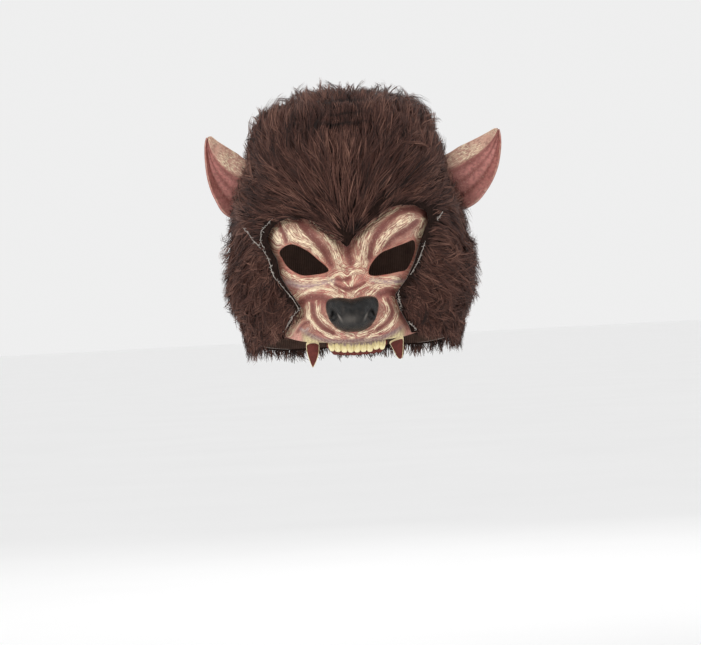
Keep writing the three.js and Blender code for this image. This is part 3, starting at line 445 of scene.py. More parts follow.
def inside(x: Array, z: Array, outline: Array) -> Array:
    """How far front-view points lie inside a closed outline; outside is below 0."""
    ring = np.vstack([outline, outline[:1]])
    nearest = to_line(x, z, ring)[0]
    within = np.zeros(x.shape, bool)
    for (ax, az), (bx, bz) in zip(ring[:-1], ring[1:]):
        if az == bz:
            continue
        crosses = (az > z) != (bz > z)
        within ^= crosses & (x < ax + (z - az) / (bz - az) * (bx - ax))
    return np.where(within, nearest, -nearest)


def grown(outline: Array, amount: float) -> Array:
    """An outline moved out square to its edges by an amount."""
    into = unit(outline - np.roll(outline, 1, axis=0))
    away = unit(np.roll(outline, -1, axis=0) - outline)
    area = np.sum(outline[:, 0] * np.roll(outline[:, 1], -1) - outline[:, 1] * np.roll(outline[:, 0], -1))
    first = np.stack([into[:, 1], -into[:, 0]], axis=1)
    normal = unit(first + np.stack([away[:, 1], -away[:, 0]], axis=1))
    reach = np.sign(area) * amount / np.maximum(0.55, np.sum(normal * first, axis=1))
    return outline + normal * reach[:, None]


def round_turn(count: int) -> Array:
    """Angles spaced evenly once round."""
    return np.arange(count) / count * FULL_TURN


def turned(vectors: Array, normals: Array, angle: Array) -> Array:
    """Tangent vectors turned about their normals by angles in radians."""
    return vectors * np.cos(angle)[:, None] + np.cross(normals, vectors) * np.sin(angle)[:, None]


def ripple(points: Array, size: float, seed: int) -> Array:
    """Soft random values from -1 to 1 that change over a size in millimetres."""
    rng = np.random.default_rng(seed)
    total = np.zeros(len(points))
    for _ in range(6):
        way = unit(rng.normal(size=points.shape[1]))
        pace = FULL_TURN / size * rng.uniform(0.35, 0.75)
        total += np.sin(points @ way * pace + rng.uniform(0, 6.28))
    return np.clip(total / 3.0, -1.0, 1.0)


def rim_at(y: Array) -> Array:
    """Height of the hood's rim, which falls from front to back."""
    return np.interp(y, RIM_SPAN, (-RIM_FRONT, -RIM_BACK))


def face_x(across: float | Array) -> float | Array:
    """Place across for a share of the face's half width."""
    return across * FACE_HALF


def face_z(down: float | Array) -> float | Array:
    """Height for a share of the face's drop."""
    return -FACE_TOP - down * FACE_DROP


def opening_outline() -> Array:
    """The fur's opening round the face, in X and Z."""
    left = [(face_x(-row.left), face_z(row.left_down)) for row in OPENING]
    right = [(face_x(row.right), face_z(row.right_down)) for row in reversed(OPENING)]
    return np.array(left + right)


def eye_outline(side: Side) -> Array:
    """The cut outline of one eye hole, smoothed, in X and Z."""
    corners = [(face_x(side.value * across), face_z(down)) for across, down in EYES[side]]
    return smooth_line(corners, 5, closed=True)


OPENING_LINE = opening_outline()
# The same outline, run straight over the tip of the peak, so that it can be moved out evenly.
OPENING_EDGE = OPENING_LINE[1:]


def volume(points: Array, faces: Sequence[Array]) -> float:
    """The signed volume inside a closed surface, above 0 where its faces look out."""
    total = 0.0
    for part in faces:
        for step in range(1, part.shape[1] - 1):
            a, b, c = points[part[:, 0]], points[part[:, step]], points[part[:, step + 1]]
            total += float(np.sum(a * np.cross(b, c)))
    return total / 6


def new_object(name: str, points: Array, faces: Sequence[Array], closed: bool = True) -> bpy.types.Object:
    """A mesh object from points in millimetres, its faces turned outward.

    Args:
        name: The piece's name.
        points: Its vertices.
        faces: Arrays of faces with the same number of corners.
        closed: Whether it is a closed solid.

    Returns:
        The linked object.
    """
    if closed and volume(points, faces) < 0:
        faces = [part[:, ::-1] for part in faces]
    mesh = bpy.data.meshes.new(name)
    loops = np.concatenate([part.ravel() for part in faces]).astype(np.int32)
    sizes = np.concatenate([np.full(len(part), part.shape[1]) for part in faces])
    starts = np.concatenate([[0], np.cumsum(sizes)[:-1]]).astype(np.int32)
    mesh.vertices.add(len(points))
    mesh.vertices.foreach_set("co", (points * MM).astype(np.float32).ravel())
    mesh.loops.add(len(loops))
    mesh.loops.foreach_set("vertex_index", loops)
    mesh.polygons.add(len(sizes))
    mesh.polygons.foreach_set("loop_start", starts)
    mesh.update(calc_edges=True)
    mesh.shade_smooth()
    piece = bpy.data.objects.new(name, mesh)
    bpy.context.scene.collection.objects.link(piece)
    return piece


def points_of(piece: bpy.types.Object) -> Array:
    """A piece's vertices in millimetres."""
    flat = np.zeros(len(piece.data.vertices) * 3, np.float32)
    piece.data.vertices.foreach_get("co", flat)
    return flat.reshape(-1, 3).astype(float) / MM


def set_uv(piece: bpy.types.Object, uv: Array) -> None:
    """Gives a piece the UV map that its finish reads, from one UV a vertex."""
    layer = piece.data.uv_layers.new(name="OFBake")
    index = np.zeros(len(piece.data.loops), np.int32)
    piece.data.loops.foreach_get("vertex_index", index)
    layer.data.foreach_set("uv", uv[index].astype(np.float32).ravel())


def set_value(piece: bpy.types.Object, name: str, values: Array) -> None:
    """Stores one number, colour or vector a vertex on a piece."""
    kinds = {1: "FLOAT", 3: "FLOAT_VECTOR", 4: "FLOAT_COLOR"}
    width = 1 if values.ndim == 1 else values.shape[1]
    store = piece.data.attributes.new(name, kinds[width], "POINT")
    key = {1: "value", 3: "vector", 4: "color"}[width]
    store.data.foreach_set(key, values.astype(np.float32).ravel())


class Cut(Enum):
    """How one solid works on another."""

    AWAY = "DIFFERENCE"
    WITHIN = "INTERSECT"


def carve(piece: bpy.types.Object, cutter: bpy.types.Object, cut: Cut) -> None:
    """Cuts a solid by another, which is then removed."""
    modifier = piece.modifiers.new("carve", "BOOLEAN")
    modifier.solver = "MANIFOLD"
    modifier.operation = cut.value
    modifier.object = cutter
    bpy.context.view_layer.update()
    depsgraph = bpy.context.evaluated_depsgraph_get()
    result = bpy.data.meshes.new_from_object(piece.evaluated_get(depsgraph))
    piece.modifiers.clear()
    old = piece.data
    piece.data = result
    bpy.data.meshes.remove(old)
    bpy.data.objects.remove(cutter)


def grid_faces(rows: int, across: int, closed: bool = False) -> Array:
    """Four-sided faces of a grid of points, row by row, closed round where asked."""
    span = across if closed else across - 1
    row, step = np.meshgrid(np.arange(rows - 1), np.arange(span), indexing="ij")
    a = (row * across + step).ravel()
    b = (row * across + (step + 1) % across).ravel()
    return np.stack([a, b, b + across, a + across], axis=1)


def sheet_faces(rows: int, across: int) -> list[Array]:
    """Faces of a closed sheet."""
    size = rows * across
    skin = grid_faces(rows, across)
    ring = np.concatenate([
        np.arange(across), across * np.arange(2, rows + 1) - 1,
        np.arange(size - 2, size - across - 1, -1), across * np.arange(rows - 2, 0, -1),
    ])
    after = np.roll(ring, -1)
    wall = np.stack([ring, after, after + size, ring + size], axis=1)
    return [skin[:, ::-1], skin + size, wall]


def fan(ring: Array, middle: int) -> Array:
    """Triangles that close a ring of points on one point."""
    return np.stack([ring, np.roll(ring, -1), np.full(len(ring), middle)], axis=1)


def prism(outline: Array, low: float, high: float, from_side: bool) -> bpy.types.Object:
    """A cutter: an outline pushed straight through."""
    count = len(outline)
    levels = []
    for depth in (low, high):
        across = np.full(count, depth)
        columns = [across, outline[:, 0]] if from_side else [outline[:, 0], across]
        levels.append(np.stack([*columns, outline[:, 1]], axis=1))
    wall = grid_faces(2, count, closed=True)
    caps = [np.arange(count)[None, ::-1], np.arange(count, 2 * count)[None]]
    return new_object("cutter", np.vstack(levels), [wall, *caps])


@dataclass
class HeadForm:
    """The rounded form that the hood is sewn over, as a radius map round its middle.

    Attributes:
        half: Half its width.
        front: Its depth forward.
        back: Its depth backward.
        drop: The drop of its rows.
        middle: How far below the crown its middle lies.
        turns: Steps round it.
        rises: Steps from the crown to its foot.
        lowest: The lowest angle of the map, in degrees.
        radii: The form's radius in every direction.
        normals: Its outward normal there.
    """

    half: float = 79.0
    front: float = 93.0
    back: float = 99.0
    drop: float = 192.0
    middle: float = 90.0
    turns: int = 240
    rises: int = 162
    lowest: float = -72.0
    radii: Array = field(init=False)
    normals: Array = field(init=False)

    def __post_init__(self) -> None:
        """Works out the radius and the outward normal in every direction."""
        rise = np.radians(np.linspace(90.0, self.lowest, self.rises + 1))[:, None]
        turn = round_turn(self.turns)[None, :]
        flat = np.cos(rise) * np.ones_like(turn)
        high_part = np.sin(rise) * np.ones_like(turn)
        way = np.stack([flat * np.cos(turn), flat * np.sin(turn), high_part], axis=-1)
        low = np.full(way.shape[:2], 5.0)
        high = np.full(way.shape[:2], 420.0)
        for _ in range(40):
            tried = (low + high) / 2
            outside = self.level(self.centre + way * tried[..., None]) > 0
            high = np.where(outside, tried, high)
            low = np.where(outside, low, tried)
        self.radii = (low + high) / 2
        skin = self.centre + way * self.radii[..., None]
        round_it = np.roll(skin, -1, axis=1) - np.roll(skin, 1, axis=1)
        down_it = np.gradient(skin, axis=0)
        self.normals = unit(np.cross(down_it, round_it))
        self.normals[0] = (0.0, 0.0, 1.0)

    @property
    def centre(self) -> Array:
        """The middle that the map is taken from."""
        return np.array([0.0, 0.0, -self.middle])

    def place_at(self, z: Array) -> Array:
        """The place between the rows of the head for a height, counted in rows."""
        places = np.linspace(0, len(HEAD_ROWS) - 1, 1800)
        downs = read_rows(HEAD_ROWS, "down", places, HEAD_ROWS[1].down)
        order = np.argmin(downs)
        return np.interp(-z / self.drop, downs[order:], places[order:])

    def level(self, points: Array) -> Array:
        """Below 0 inside the head form, above 0 outside it."""
        place = self.place_at(points[..., 2])
        half = self.half * read_rows(HEAD_ROWS, "half", place, -HEAD_ROWS[1].half)
        front = self.front * read_rows(HEAD_ROWS, "front", place, -HEAD_ROWS[1].front)
        back = self.back * read_rows(HEAD_ROWS, "back", place, -HEAD_ROWS[1].back)
        square = read_rows(HEAD_ROWS, "square", place)
        deep = np.where(points[..., 1] < 0, front, back)
        across = np.abs(points[..., 0]) / np.maximum(half, 1e-3)
        along = np.abs(points[..., 1]) / np.maximum(deep, 1e-3)
        value = np.minimum(across, 50) ** square + np.minimum(along, 50) ** square - 1
        return np.where(points[..., 2] > 0, 1.0, value)

    def seat(self, points: Array) -> tuple[Array, Array]:
        """Drops points onto the form.

        Args:
            points: Points near it.

        Returns:
            The points of its surface under them, and the outward normals there.
        """
        way = points - self.centre
        reach = np.linalg.norm(way, axis=1)
        rise = np.degrees(np.arcsin(np.clip(way[:, 2] / reach, -1, 1)))
        row = np.clip((90.0 - rise) / (90.0 - self.lowest) * self.rises, 0, self.rises - 1e-6)
        step = (np.arctan2(way[:, 1], way[:, 0]) / FULL_TURN % 1.0) * self.turns
        i, j = row.astype(int), step.astype(int) % self.turns
        u, v = (row - i)[:, None], (step - step.astype(int))[:, None]
        k = (j + 1) % self.turns

        def read(grid: Array) -> Array:
            """Reads one of the maps between its points."""
            upper = mix(grid[i, j], grid[i, k], v)
            lower = mix(grid[i + 1, j], grid[i + 1, k], v)
            return mix(upper, lower, u)

        radius = read(self.radii[..., None])
        return self.centre + way / reach[:, None] * radius, unit(read(self.normals))

    def pile(self, points: Array) -> Array:
        """Depth of pile over points of the form: thin at the opening, drawn in at the gathers."""
        levels = [row.down for row in PILE_ROWS]
        place = np.interp(-points[:, 2] / self.drop, levels, range(len(PILE_ROWS)))
        full = PILE * read_rows(PILE_ROWS, "depth", place)
        away = -inside(points[:, 0], points[:, 2], OPENING_LINE)
        thin = mix(PILE_EDGE, full, ease(away / PILE_FADE))
        gather = bell(points[:, 0], 26.0)
        dips = bell(points[:, 2] + 27, 4.5) * 3.2 + bell(points[:, 2] + 12, 3.5) * 2.2
        return np.where(points[:, 1] > 0, full, thin - gather * dips)

    def space(self, distance: Callable[[Array], Array] | float, stride: int = 2) -> bpy.types.Object:
        """A closed solid under the surface moved out by a distance.

        Args:
            distance: How far out, or a function of the surface's points.
            stride: Keeps every so many of the map's steps.

        Returns:
            The solid, as a cutter to work with.
        """
        rise = np.radians(np.linspace(90.0, self.lowest, self.rises + 1))[stride::stride]
        turn = round_turn(self.turns)[::stride]
        flat, angle = np.meshgrid(rise, turn, indexing="ij")
        way = np.stack([np.cos(flat) * np.cos(angle), np.cos(flat) * np.sin(angle), np.sin(flat)], axis=-1)
        skin, normal = self.seat(self.centre + way.reshape(-1, 3) * 50)
        top = np.array([[0.0, 0.0, 0.0]])
        out = distance(skin) if callable(distance) else np.full(len(skin), distance)
        crown = distance(top)[0] if callable(distance) else distance
        body = skin + normal * out[:, None]
        foot = np.array([[0.0, 0.0, body[-1, 2]]])
        points = np.vstack([body, top + [[0, 0, crown]], foot])
        across = len(turn)
        ring = np.arange(across)
        side = grid_faces(len(rise), across, closed=True)[:, ::-1]
        cap = fan(ring, len(body))
        base = fan(len(body) - across + ring, len(body) + 1)[:, ::-1]
        return new_object("head_space", points, [side, cap, base])

    def front_at(self, x: Array, z: Array) -> Array:
        """The form's front depth at front-view points, as a y value."""
        place = np.interp(-z / self.drop, [row.down for row in HEAD_ROWS], range(len(HEAD_ROWS)))
        half = self.half * read_rows(HEAD_ROWS, "half", place)
        front = self.front * read_rows(HEAD_ROWS, "front", place)
        power = read_rows(HEAD_ROWS, "square", place)
        share = np.clip(np.abs(x) / half, 0, 0.985)
        return -front * (1 - share**power) ** (1 / power)


def linear(red: int, green: int, blue: int) -> tuple[float, float, float, float]:
    """A colour as it is seen, in the values that a shader takes."""
    seen = [value / 255 for value in (red, green, blue)]
    return (*[v / 12.92 if v < 0.04045 else ((v + 0.055) / 1.055) ** 2.4 for v in seen], 1.0)


class Shader:
    """One node material, built up socket by socket."""

    def __init__(self, name: str, rough: float, specular: float = 0.5) -> None:
        """Starts a material with its roughness and specular level."""
        self.material = bpy.data.materials.new(name)
        self.material.use_nodes = True
        self.tree = self.material.node_tree
        self.surface = self.tree.nodes["Principled BSDF"]
        self.surface.inputs["Roughness"].default_value = rough
        self.surface.inputs["Specular IOR Level"].default_value = specular

    def feed(self, target: Socket, value: object) -> None:
        """Links a socket to a value, or sets it."""
        if isinstance(value, Socket):
            self.tree.links.new(value, target)
        else:
            target.default_value = value

    def node(self, kind: str, inputs: dict[str, object], **settings: object) -> bpy.types.Node:
        """A node with its settings and inputs."""
        made = self.tree.nodes.new(kind)
        for key, value in settings.items():
            setattr(made, key, value)
        for key, value in inputs.items():
            self.feed(made.inputs[key], value)
        return made

    def stored(self, name: str, output: str) -> Socket:
        """A value that the mesh stores."""
        return self.node("ShaderNodeAttribute", {}, attribute_name=name).outputs[output]

    def stretched(self, vector: Socket, stretch: tuple[float, float, float]) -> Socket:
        """A vector with each part scaled."""
        return self.node("ShaderNodeMapping", {"Vector": vector, "Scale": stretch}).outputs["Vector"]

    def place(self, stretch: tuple[float, float, float] = (1.0, 1.0, 1.0)) -> Socket:
        """The place on the object, stretched."""
        return self.stretched(self.node("ShaderNodeTexCoord", {}).outputs["Object"], stretch)

    def noise(self, vector: Socket, scale: float, detail: float = 3.0, warp: float = 0.0) -> Socket:
        """Soft random values between 0 and 1."""
        inputs = {"Vector": vector, "Scale": scale, "Detail": detail, "Distortion": warp}
        return self.node("ShaderNodeTexNoise", inputs).outputs["Fac"]

    def sum(self, first: object, second: object, how: str = "ADD") -> Socket:
        """Two numbers worked into one."""
        made = self.node("ShaderNodeMath", {}, operation=how)
        self.feed(made.inputs[0], first)
        self.feed(made.inputs[1], second)
        return made.outputs[0]

    def spread(
        self, value: Socket, low: float, high: float, first: float = 0.0, last: float = 1.0
    ) -> Socket:
        """A value eased from one range into another."""
        inputs = {"Value": value, "From Min": low, "From Max": high, "To Min": first, "To Max": last}
        return self.node("ShaderNodeMapRange", inputs, interpolation_type="SMOOTHSTEP").outputs["Result"]

    def blend(self, share: object, first: object, second: object, how: str = "MIX") -> Socket:
        """Two colours blended by a share."""
        made = self.node("ShaderNodeMix", {}, data_type="RGBA", blend_type=how)
        self.feed(made.inputs["Factor"], share)
        self.feed(made.inputs[6], first)
        self.feed(made.inputs[7], second)
        return made.outputs[2]

    def ramp(self, share: Socket, stops: Sequence[tuple[float, Tone]]) -> Socket:
        """A colour read from a ramp of places and colours."""
        made = self.node("ShaderNodeValToRGB", {"Fac": share})
        stretch = made.color_ramp.elements
        while len(stretch) < len(stops):
            stretch.new(0.5)
        for element, (place, colour) in zip(stretch, stops):
            element.position = place
            element.color = linear(*colour)
        return made.outputs["Color"]

    def bump(self, height: Socket, distance: float, strength: float = 1.0) -> None:
        """Raises the surface by a height, in metres at its highest."""
        made = self.node("ShaderNodeBump", {"Height": height, "Distance": distance, "Strength": strength})
        self.feed(self.surface.inputs["Normal"], made.outputs["Normal"])

    def colour(self, value: object) -> None:
        """Sets the surface's colour."""
        self.feed(self.surface.inputs["Base Color"], value)


@dataclass(frozen=True)
class FurFinish:
    """Brown pile: painted shade darkens each hair toward its root, each hair with a tone of its own.

    Attributes:
        name: The material's name.
        rough: Its roughness.
        dark: The darkest hair.
        body: The common hair.
        light: The lightest hair.
    """

    name: str = "brown_fur"
    rough: float = 0.66
    dark: Tone = (20, 9, 6)
    body: Tone = (82, 50, 41)
    light: Tone = (150, 108, 92)

    def build(self) -> bpy.types.Material:
        """Makes the material."""
        shader = Shader(self.name, self.rough, 0.28)
        uv = shader.node("ShaderNodeUVMap", {}, uv_map="OFBake").outputs["UV"]
        split = shader.node("ShaderNodeSeparateXYZ", {"Vector": uv})
        tone = shader.ramp(split.outputs["X"], ((0.0, self.dark), (0.5, self.body), (1.0, self.light)))
        # Painted shade: each hair darkens toward its root.
        shade = shader.spread(split.outputs["Y"], 0.0, 0.7, 0.3, 1.0)
        grey = shader.node("ShaderNodeCombineXYZ", {"X": shade, "Y": shade, "Z": shade}).outputs[0]
        root = shader.blend(1.0, tone, grey, "MULTIPLY")
        # Painted shade: the hair darkens in the forehead's creases.
        shader.colour(shader.blend(self.crease_shade(shader), root, linear(*self.dark)))
        return shader.material

    def crease_shade(self, shader: Shader) -> Socket:
        """How much painted shade darkens the fur in the forehead's creases, from its place there."""

        def offset(place: Socket, middle: float, wide: float) -> Socket:
            """How far a place lies from a crease, in half widths."""
            return shader.sum(shader.sum(place, middle * MM, "SUBTRACT"), wide * MM, "DIVIDE")

        where = shader.node("ShaderNodeSeparateXYZ", {"Vector": shader.place()})
        wander = shader.spread(shader.noise(shader.place(), 90.0), 0.3, 0.7, -0.0012, 0.0012)
        level = shader.sum(where.outputs["Z"], wander)
        fold_shade: object = 0.0
        for crease in CREASES:
            up = offset(level, crease.level, crease.wide)
            out = offset(where.outputs["X"], crease.middle, crease.long)
            away = shader.sum(shader.sum(up, up, "MULTIPLY"), shader.sum(out, out, "MULTIPLY"))
            near = shader.sum(math.e, shader.sum(away, -1.0, "MULTIPLY"), "POWER")
            fold_shade = shader.sum(fold_shade, shader.sum(near, crease.deep, "MULTIPLY"))
        front = shader.spread(where.outputs["Y"], -0.02, 0.0, 1.0, 0.0)
        return shader.sum(fold_shade, front, "MULTIPLY")


@dataclass(frozen=True)
class PileShadeFinish:
    """Painted shade: a dark sheet for the depth of the pile under the hair.

    Attributes:
        name: The material's name.
        deep: Its darkest colour.
        raised: Its lightest colour.
    """

    name: str = "pile_shade"
    deep: Tone = (22, 14, 11)
    raised: Tone = (46, 30, 25)

    def build(self) -> bpy.types.Material:
        """Makes the material."""
        shader = Shader(self.name, 0.95, 0.1)
        grain = shader.noise(shader.place((1.0, 1.0, 0.35)), 900.0, 3.0)
        shader.colour(shader.ramp(grain, ((0.3, self.deep), (0.75, self.raised))))
        shader.bump(grain, 0.0012)
        return shader.material


@dataclass(frozen=True)
class LatexFinish:
    """Painted latex: a rose coat with painted shade in its grooves, dry-brushed in cream along its ridges.

    Attributes:
        name: The material's name.
        cream: The dry-brushed paint.
        worn: The same paint where it is thin.
        stain: Darker mottling of the coat.
        speck: Pale specks on it.
        rough: Its roughness.
        streak: How much the brush marks break up the cream.
    """

    name: str = "painted_latex"
    cream: Tone = (250, 232, 198)
    worn: Tone = (216, 184, 154)
    stain: Tone = (118, 70, 64)
    speck: Tone = (214, 184, 160)
    rough: float = 0.58
    streak: float = 1.0

    def build(self) -> bpy.types.Material:
        """Makes the material."""
        shader = Shader(self.name, self.rough, 0.35)
        coat = shader.stored("coat", "Color")
        ridge = shader.stored("ridge", "Fac")
        grain = shader.stored("grain", "Vector")
        brush = shader.noise(shader.stretched(grain, (0.16, 1.45, 1.0)), 1.0, 2.0, 0.7)
        mottle = shader.noise(shader.place(), 420.0, 4.0)
        speck = shader.noise(shader.place(), 1100.0, 2.0)
        marks = shader.spread(brush, 0.42, 0.58, 0.0, 0.52 * self.streak)
        worn = shader.sum(shader.sum(ridge, 0.44, "MULTIPLY"), marks)
        share = shader.spread(worn, 0.42, 0.74)
        stained = shader.blend(shader.spread(mottle, 0.35, 0.7, 0.0, 0.5), coat, linear(*self.stain))
        specked = shader.blend(shader.spread(speck, 0.58, 0.72, 0.0, 0.5), stained, linear(*self.speck))
        paint = shader.ramp(mottle, ((0.3, self.worn), (0.6, self.cream)))
        shader.colour(shader.blend(share, specked, paint))
        height = shader.sum(shader.sum(brush, 0.7, "MULTIPLY"), shader.sum(speck, 0.3, "MULTIPLY"))
        shader.bump(height, 0.0007, 0.8)
        return shader.material


@dataclass(frozen=True)
class NoseFinish:
    """Near-black latex with a low shine and a fine leathery grain.

    Attributes:
        name: The material's name.
        tones: Its mottled blacks.
        worn: The painted highlight on the nostrils' raised rims and the lower middle.
        nose_shade: The painted shade in the nostrils and toward the pad's edge.
    """

    name: str = "nose_black"
    tones: tuple[tuple[float, Tone], ...] = ((0.34, (6, 5, 4)), (0.52, (17, 14, 12)), (0.74, (40, 34, 30)))
    worn: Tone = (150, 142, 134)
    nose_shade: Tone = (4, 3, 3)

    def build(self) -> bpy.types.Material:
        """Makes the material."""
        shader = Shader(self.name, 0.3, 0.3)
        deep = shader.stored("deep", "Fac")
        mottle = shader.noise(shader.place(), 260.0, 4.0)
        cell = shader.node("ShaderNodeTexVoronoi", {"Vector": shader.place(), "Scale": 1300.0})
        # Painted highlight on the rims and the lower middle, painted shade in the nostrils and toward the
        # edge.
        raised = shader.spread(deep, 0.5, 1.0)
        lit = shader.blend(raised, shader.ramp(mottle, self.tones), linear(*self.worn))
        shader.colour(shader.blend(shader.spread(deep, 0.5, 0.1), lit, linear(*self.nose_shade)))
        shader.bump(shader.sum(cell.outputs["Distance"], mottle), 0.0005, 0.6)
        return shader.material


@dataclass(frozen=True)
class ToothFinish:
    """Cream-yellow teeth, with painted shade turning them grey-violet where they leave the gum under the
    lip.

    Attributes:
        name: The material's name.
        tones: Its colours from the gum down to the tip, the grey-violet ones painted shade.
    """

    name: str = "tooth_cream"
    tones: tuple[tuple[float, Tone], ...] = (
        (0.0, (104, 80, 80)), (0.3, (138, 116, 104)), (0.54, (210, 192, 138)), (0.95, (246, 232, 182)),
    )

    def build(self) -> bpy.types.Material:
        """Makes the material."""
        shader = Shader(self.name, 0.46, 0.45)
        level = shader.stored("level", "Fac")
        mottle = shader.noise(shader.place((1.0, 1.0, 0.4)), 700.0, 4.0)
        mixed = shader.sum(level, shader.spread(mottle, 0.3, 0.7, -0.16, 0.16))
        shader.colour(shader.ramp(mixed, self.tones))
        shader.bump(mottle, 0.0004, 0.6)
        return shader.material


@dataclass(frozen=True)
class RustFinish:
    """Rust-brown latex inside a thin cream rim.

    Attributes:
        name: The material's name.
        tones: Its mottled rust.
        cream: The rim.
    """

    name: str = "fang_rust"
    tones: tuple[tuple[float, Tone], ...] = ((0.25, (80, 25, 16)), (0.75, (112, 44, 34)))
    cream: Tone = (236, 220, 176)

    def build(self) -> bpy.types.Material:
        """Makes the material."""
        shader = Shader(self.name, 0.55, 0.35)
        rim = shader.stored("level", "Fac")
        mottle = shader.noise(shader.place(), 500.0, 4.0)
        inner = shader.ramp(mottle, self.tones)
        share = shader.spread(shader.sum(rim, shader.spread(mottle, 0.3, 0.7, -0.12, 0.12)), 0.5, 0.72)
        shader.colour(shader.blend(share, inner, linear(*self.cream)))
        shader.bump(mottle, 0.0003, 0.5)
        return shader.material


@dataclass(frozen=True)
class KnitFinish:
    """The pale knit backing of the fur fabric.

    Attributes:
        name: The material's name.
        colour: The yarn.
        pitch: Ribs of the knit to the metre.
        inner: The inner side's darker and lighter yarn, browner and darker than the outer, as painted
            shade inside the hood.
    """

    name: str = "knit_backing"
    colour: Tone = (232, 225, 216)
    pitch: float = 620.0
    inner: tuple[Tone, Tone] = ((66, 50, 44), (112, 90, 80))

    def build(self) -> bpy.types.Material:
        """Makes the material."""
        shader = Shader(self.name, 0.95, 0.1)
        where = shader.place()
        rib = self.wave(shader, where, self.pitch / 3, "X")
        loop = self.wave(shader, where, self.pitch / 2, "Z")
        knit = shader.sum(rib, loop, "MULTIPLY")
        fluff = shader.noise(where, 90.0, 5.0)
        shade = shader.sum(shader.sum(knit, 0.5, "MULTIPLY"), shader.sum(fluff, 0.5, "MULTIPLY"))
        dark = tuple(int(value * 0.74) for value in self.colour)
        outer = shader.ramp(shade, ((0.15, dark), (0.6, self.colour)))
        # The inner side is painted darker, as shade inside the hood.
        inner = shader.ramp(shade, ((0.15, self.inner[0]), (0.6, self.inner[1])))
        shader.colour(shader.blend(shader.stored("inner", "Fac"), outer, inner))
        shader.bump(knit, 0.0004, 0.8)
        return shader.material

    def wave(self, shader: Shader, where: Socket, scale: float, way: str) -> Socket:
        """Rows of the knit one way."""
        inputs = {"Vector": where, "Scale": scale, "Distortion": 1.4}
        return shader.node("ShaderNodeTexWave", inputs, bands_direction=way).outputs["Fac"]


@dataclass(frozen=True)
class StudioFinish:
    """The plain pale floor."""

    name: str = "studio_floor"

    def build(self) -> bpy.types.Material:
        """Makes the material."""
        shader = Shader(self.name, 0.9, 0.1)
        tone = shader.noise(shader.place(), 3.0, 2.0)
        shader.colour(shader.ramp(tone, ((0.0, (247, 247, 247)), (1.0, (252, 252, 252)))))
        return shader.material


def tinted(coat: Array, colour: Tone, share: Array) -> Array:
    """Colours blended toward one colour by a share for each point."""
    return mix(coat, np.array(linear(*colour)), share[:, None])


def dress(
    piece: bpy.types.Object, material: bpy.types.Material, slot: str, *nodes: str
) -> bpy.types.Object:
    """Gives a finished piece its material, hangs it on the root body and hides the imported nodes that it
    stands for.
    """
    piece.data.materials.clear()
    piece.data.materials.append(material)
    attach(piece, ROOT_BODY)
    if nodes:
        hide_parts(*nodes)
    return piece


@dataclass
class HoodBacking:
    """The knit backing: a thin hood, open at the face and below.

    Attributes:
        head: The form that it is sewn over.
        wall: Its thickness.
    """

    head: HeadForm
    wall: float = BACKING_WALL

    def rim(self, lower: float) -> bpy.types.Object:
        """Everything above the hood's rim, lowered by an amount."""
        front, back = -RIM_FRONT - lower, -RIM_BACK - lower
        corners = [
            (-FAR, front), (RIM_SPAN[0], front), (RIM_SPAN[1], back), (FAR, back), (FAR, 60), (-FAR, 60),
        ]
        return prism(np.array(corners, float), -FAR, FAR, from_side=True)

    def build(self) -> bpy.types.Object:
        """Makes and dresses the backing."""
        shell = self.head.space(self.wall)
        shell.name = "knit_hood"
        carve(shell, self.head.space(0.0), Cut.AWAY)
        carve(shell, prism(OPENING_LINE, -FAR, 0.0, from_side=False), Cut.AWAY)
        carve(shell, self.rim(0.0), Cut.WITHIN)
        shell.data.shade_smooth()
        shell.data.set_sharp_from_angle(angle=math.radians(50))
        points = points_of(shell)
        skin, normal = self.head.seat(points)
        out = np.sum((points - skin) * normal, axis=1)
        # Marks the inner side, which is painted darker as shade inside the hood.
        set_value(shell, "inner", np.clip(1.5 - out / self.wall, 0.0, 1.0))
        return dress(shell, KnitFinish().build(), "knit_backing", "hood_backing")


class Zone(Enum):
    """A part of the hood that one panel of hair covers."""

    CROWN_FRONT = "crown_front"
    CROWN_BACK = "crown_back"
    CHEEK_LEFT = "cheek_left"
    CHEEK_RIGHT = "cheek_right"


class Clumps(NamedTuple):
    """Where a panel's clumps stand on the form, and how each of them grows."""

    skin: Array
    normal: Array
    tone: Array
    swerve: Array
    curl: Array
    length: Array
    lift: Array
    wisp: Array
    stand: Array


class Guide(NamedTuple):
    """One stop along every clump: its place, the ways up and along, the pile's depth and its shade."""

    at: Array
    up: Array
    flow: Array
    pile: Array
    shade: Array


# Stops along a hair from root to tip, and how far up the pile each of them lies.
STOPS = np.array([0.0, 0.3, 0.6, 0.85, 1.0])
RISE = np.array([0.3, 0.66, 0.92, 1.02, 1.0])


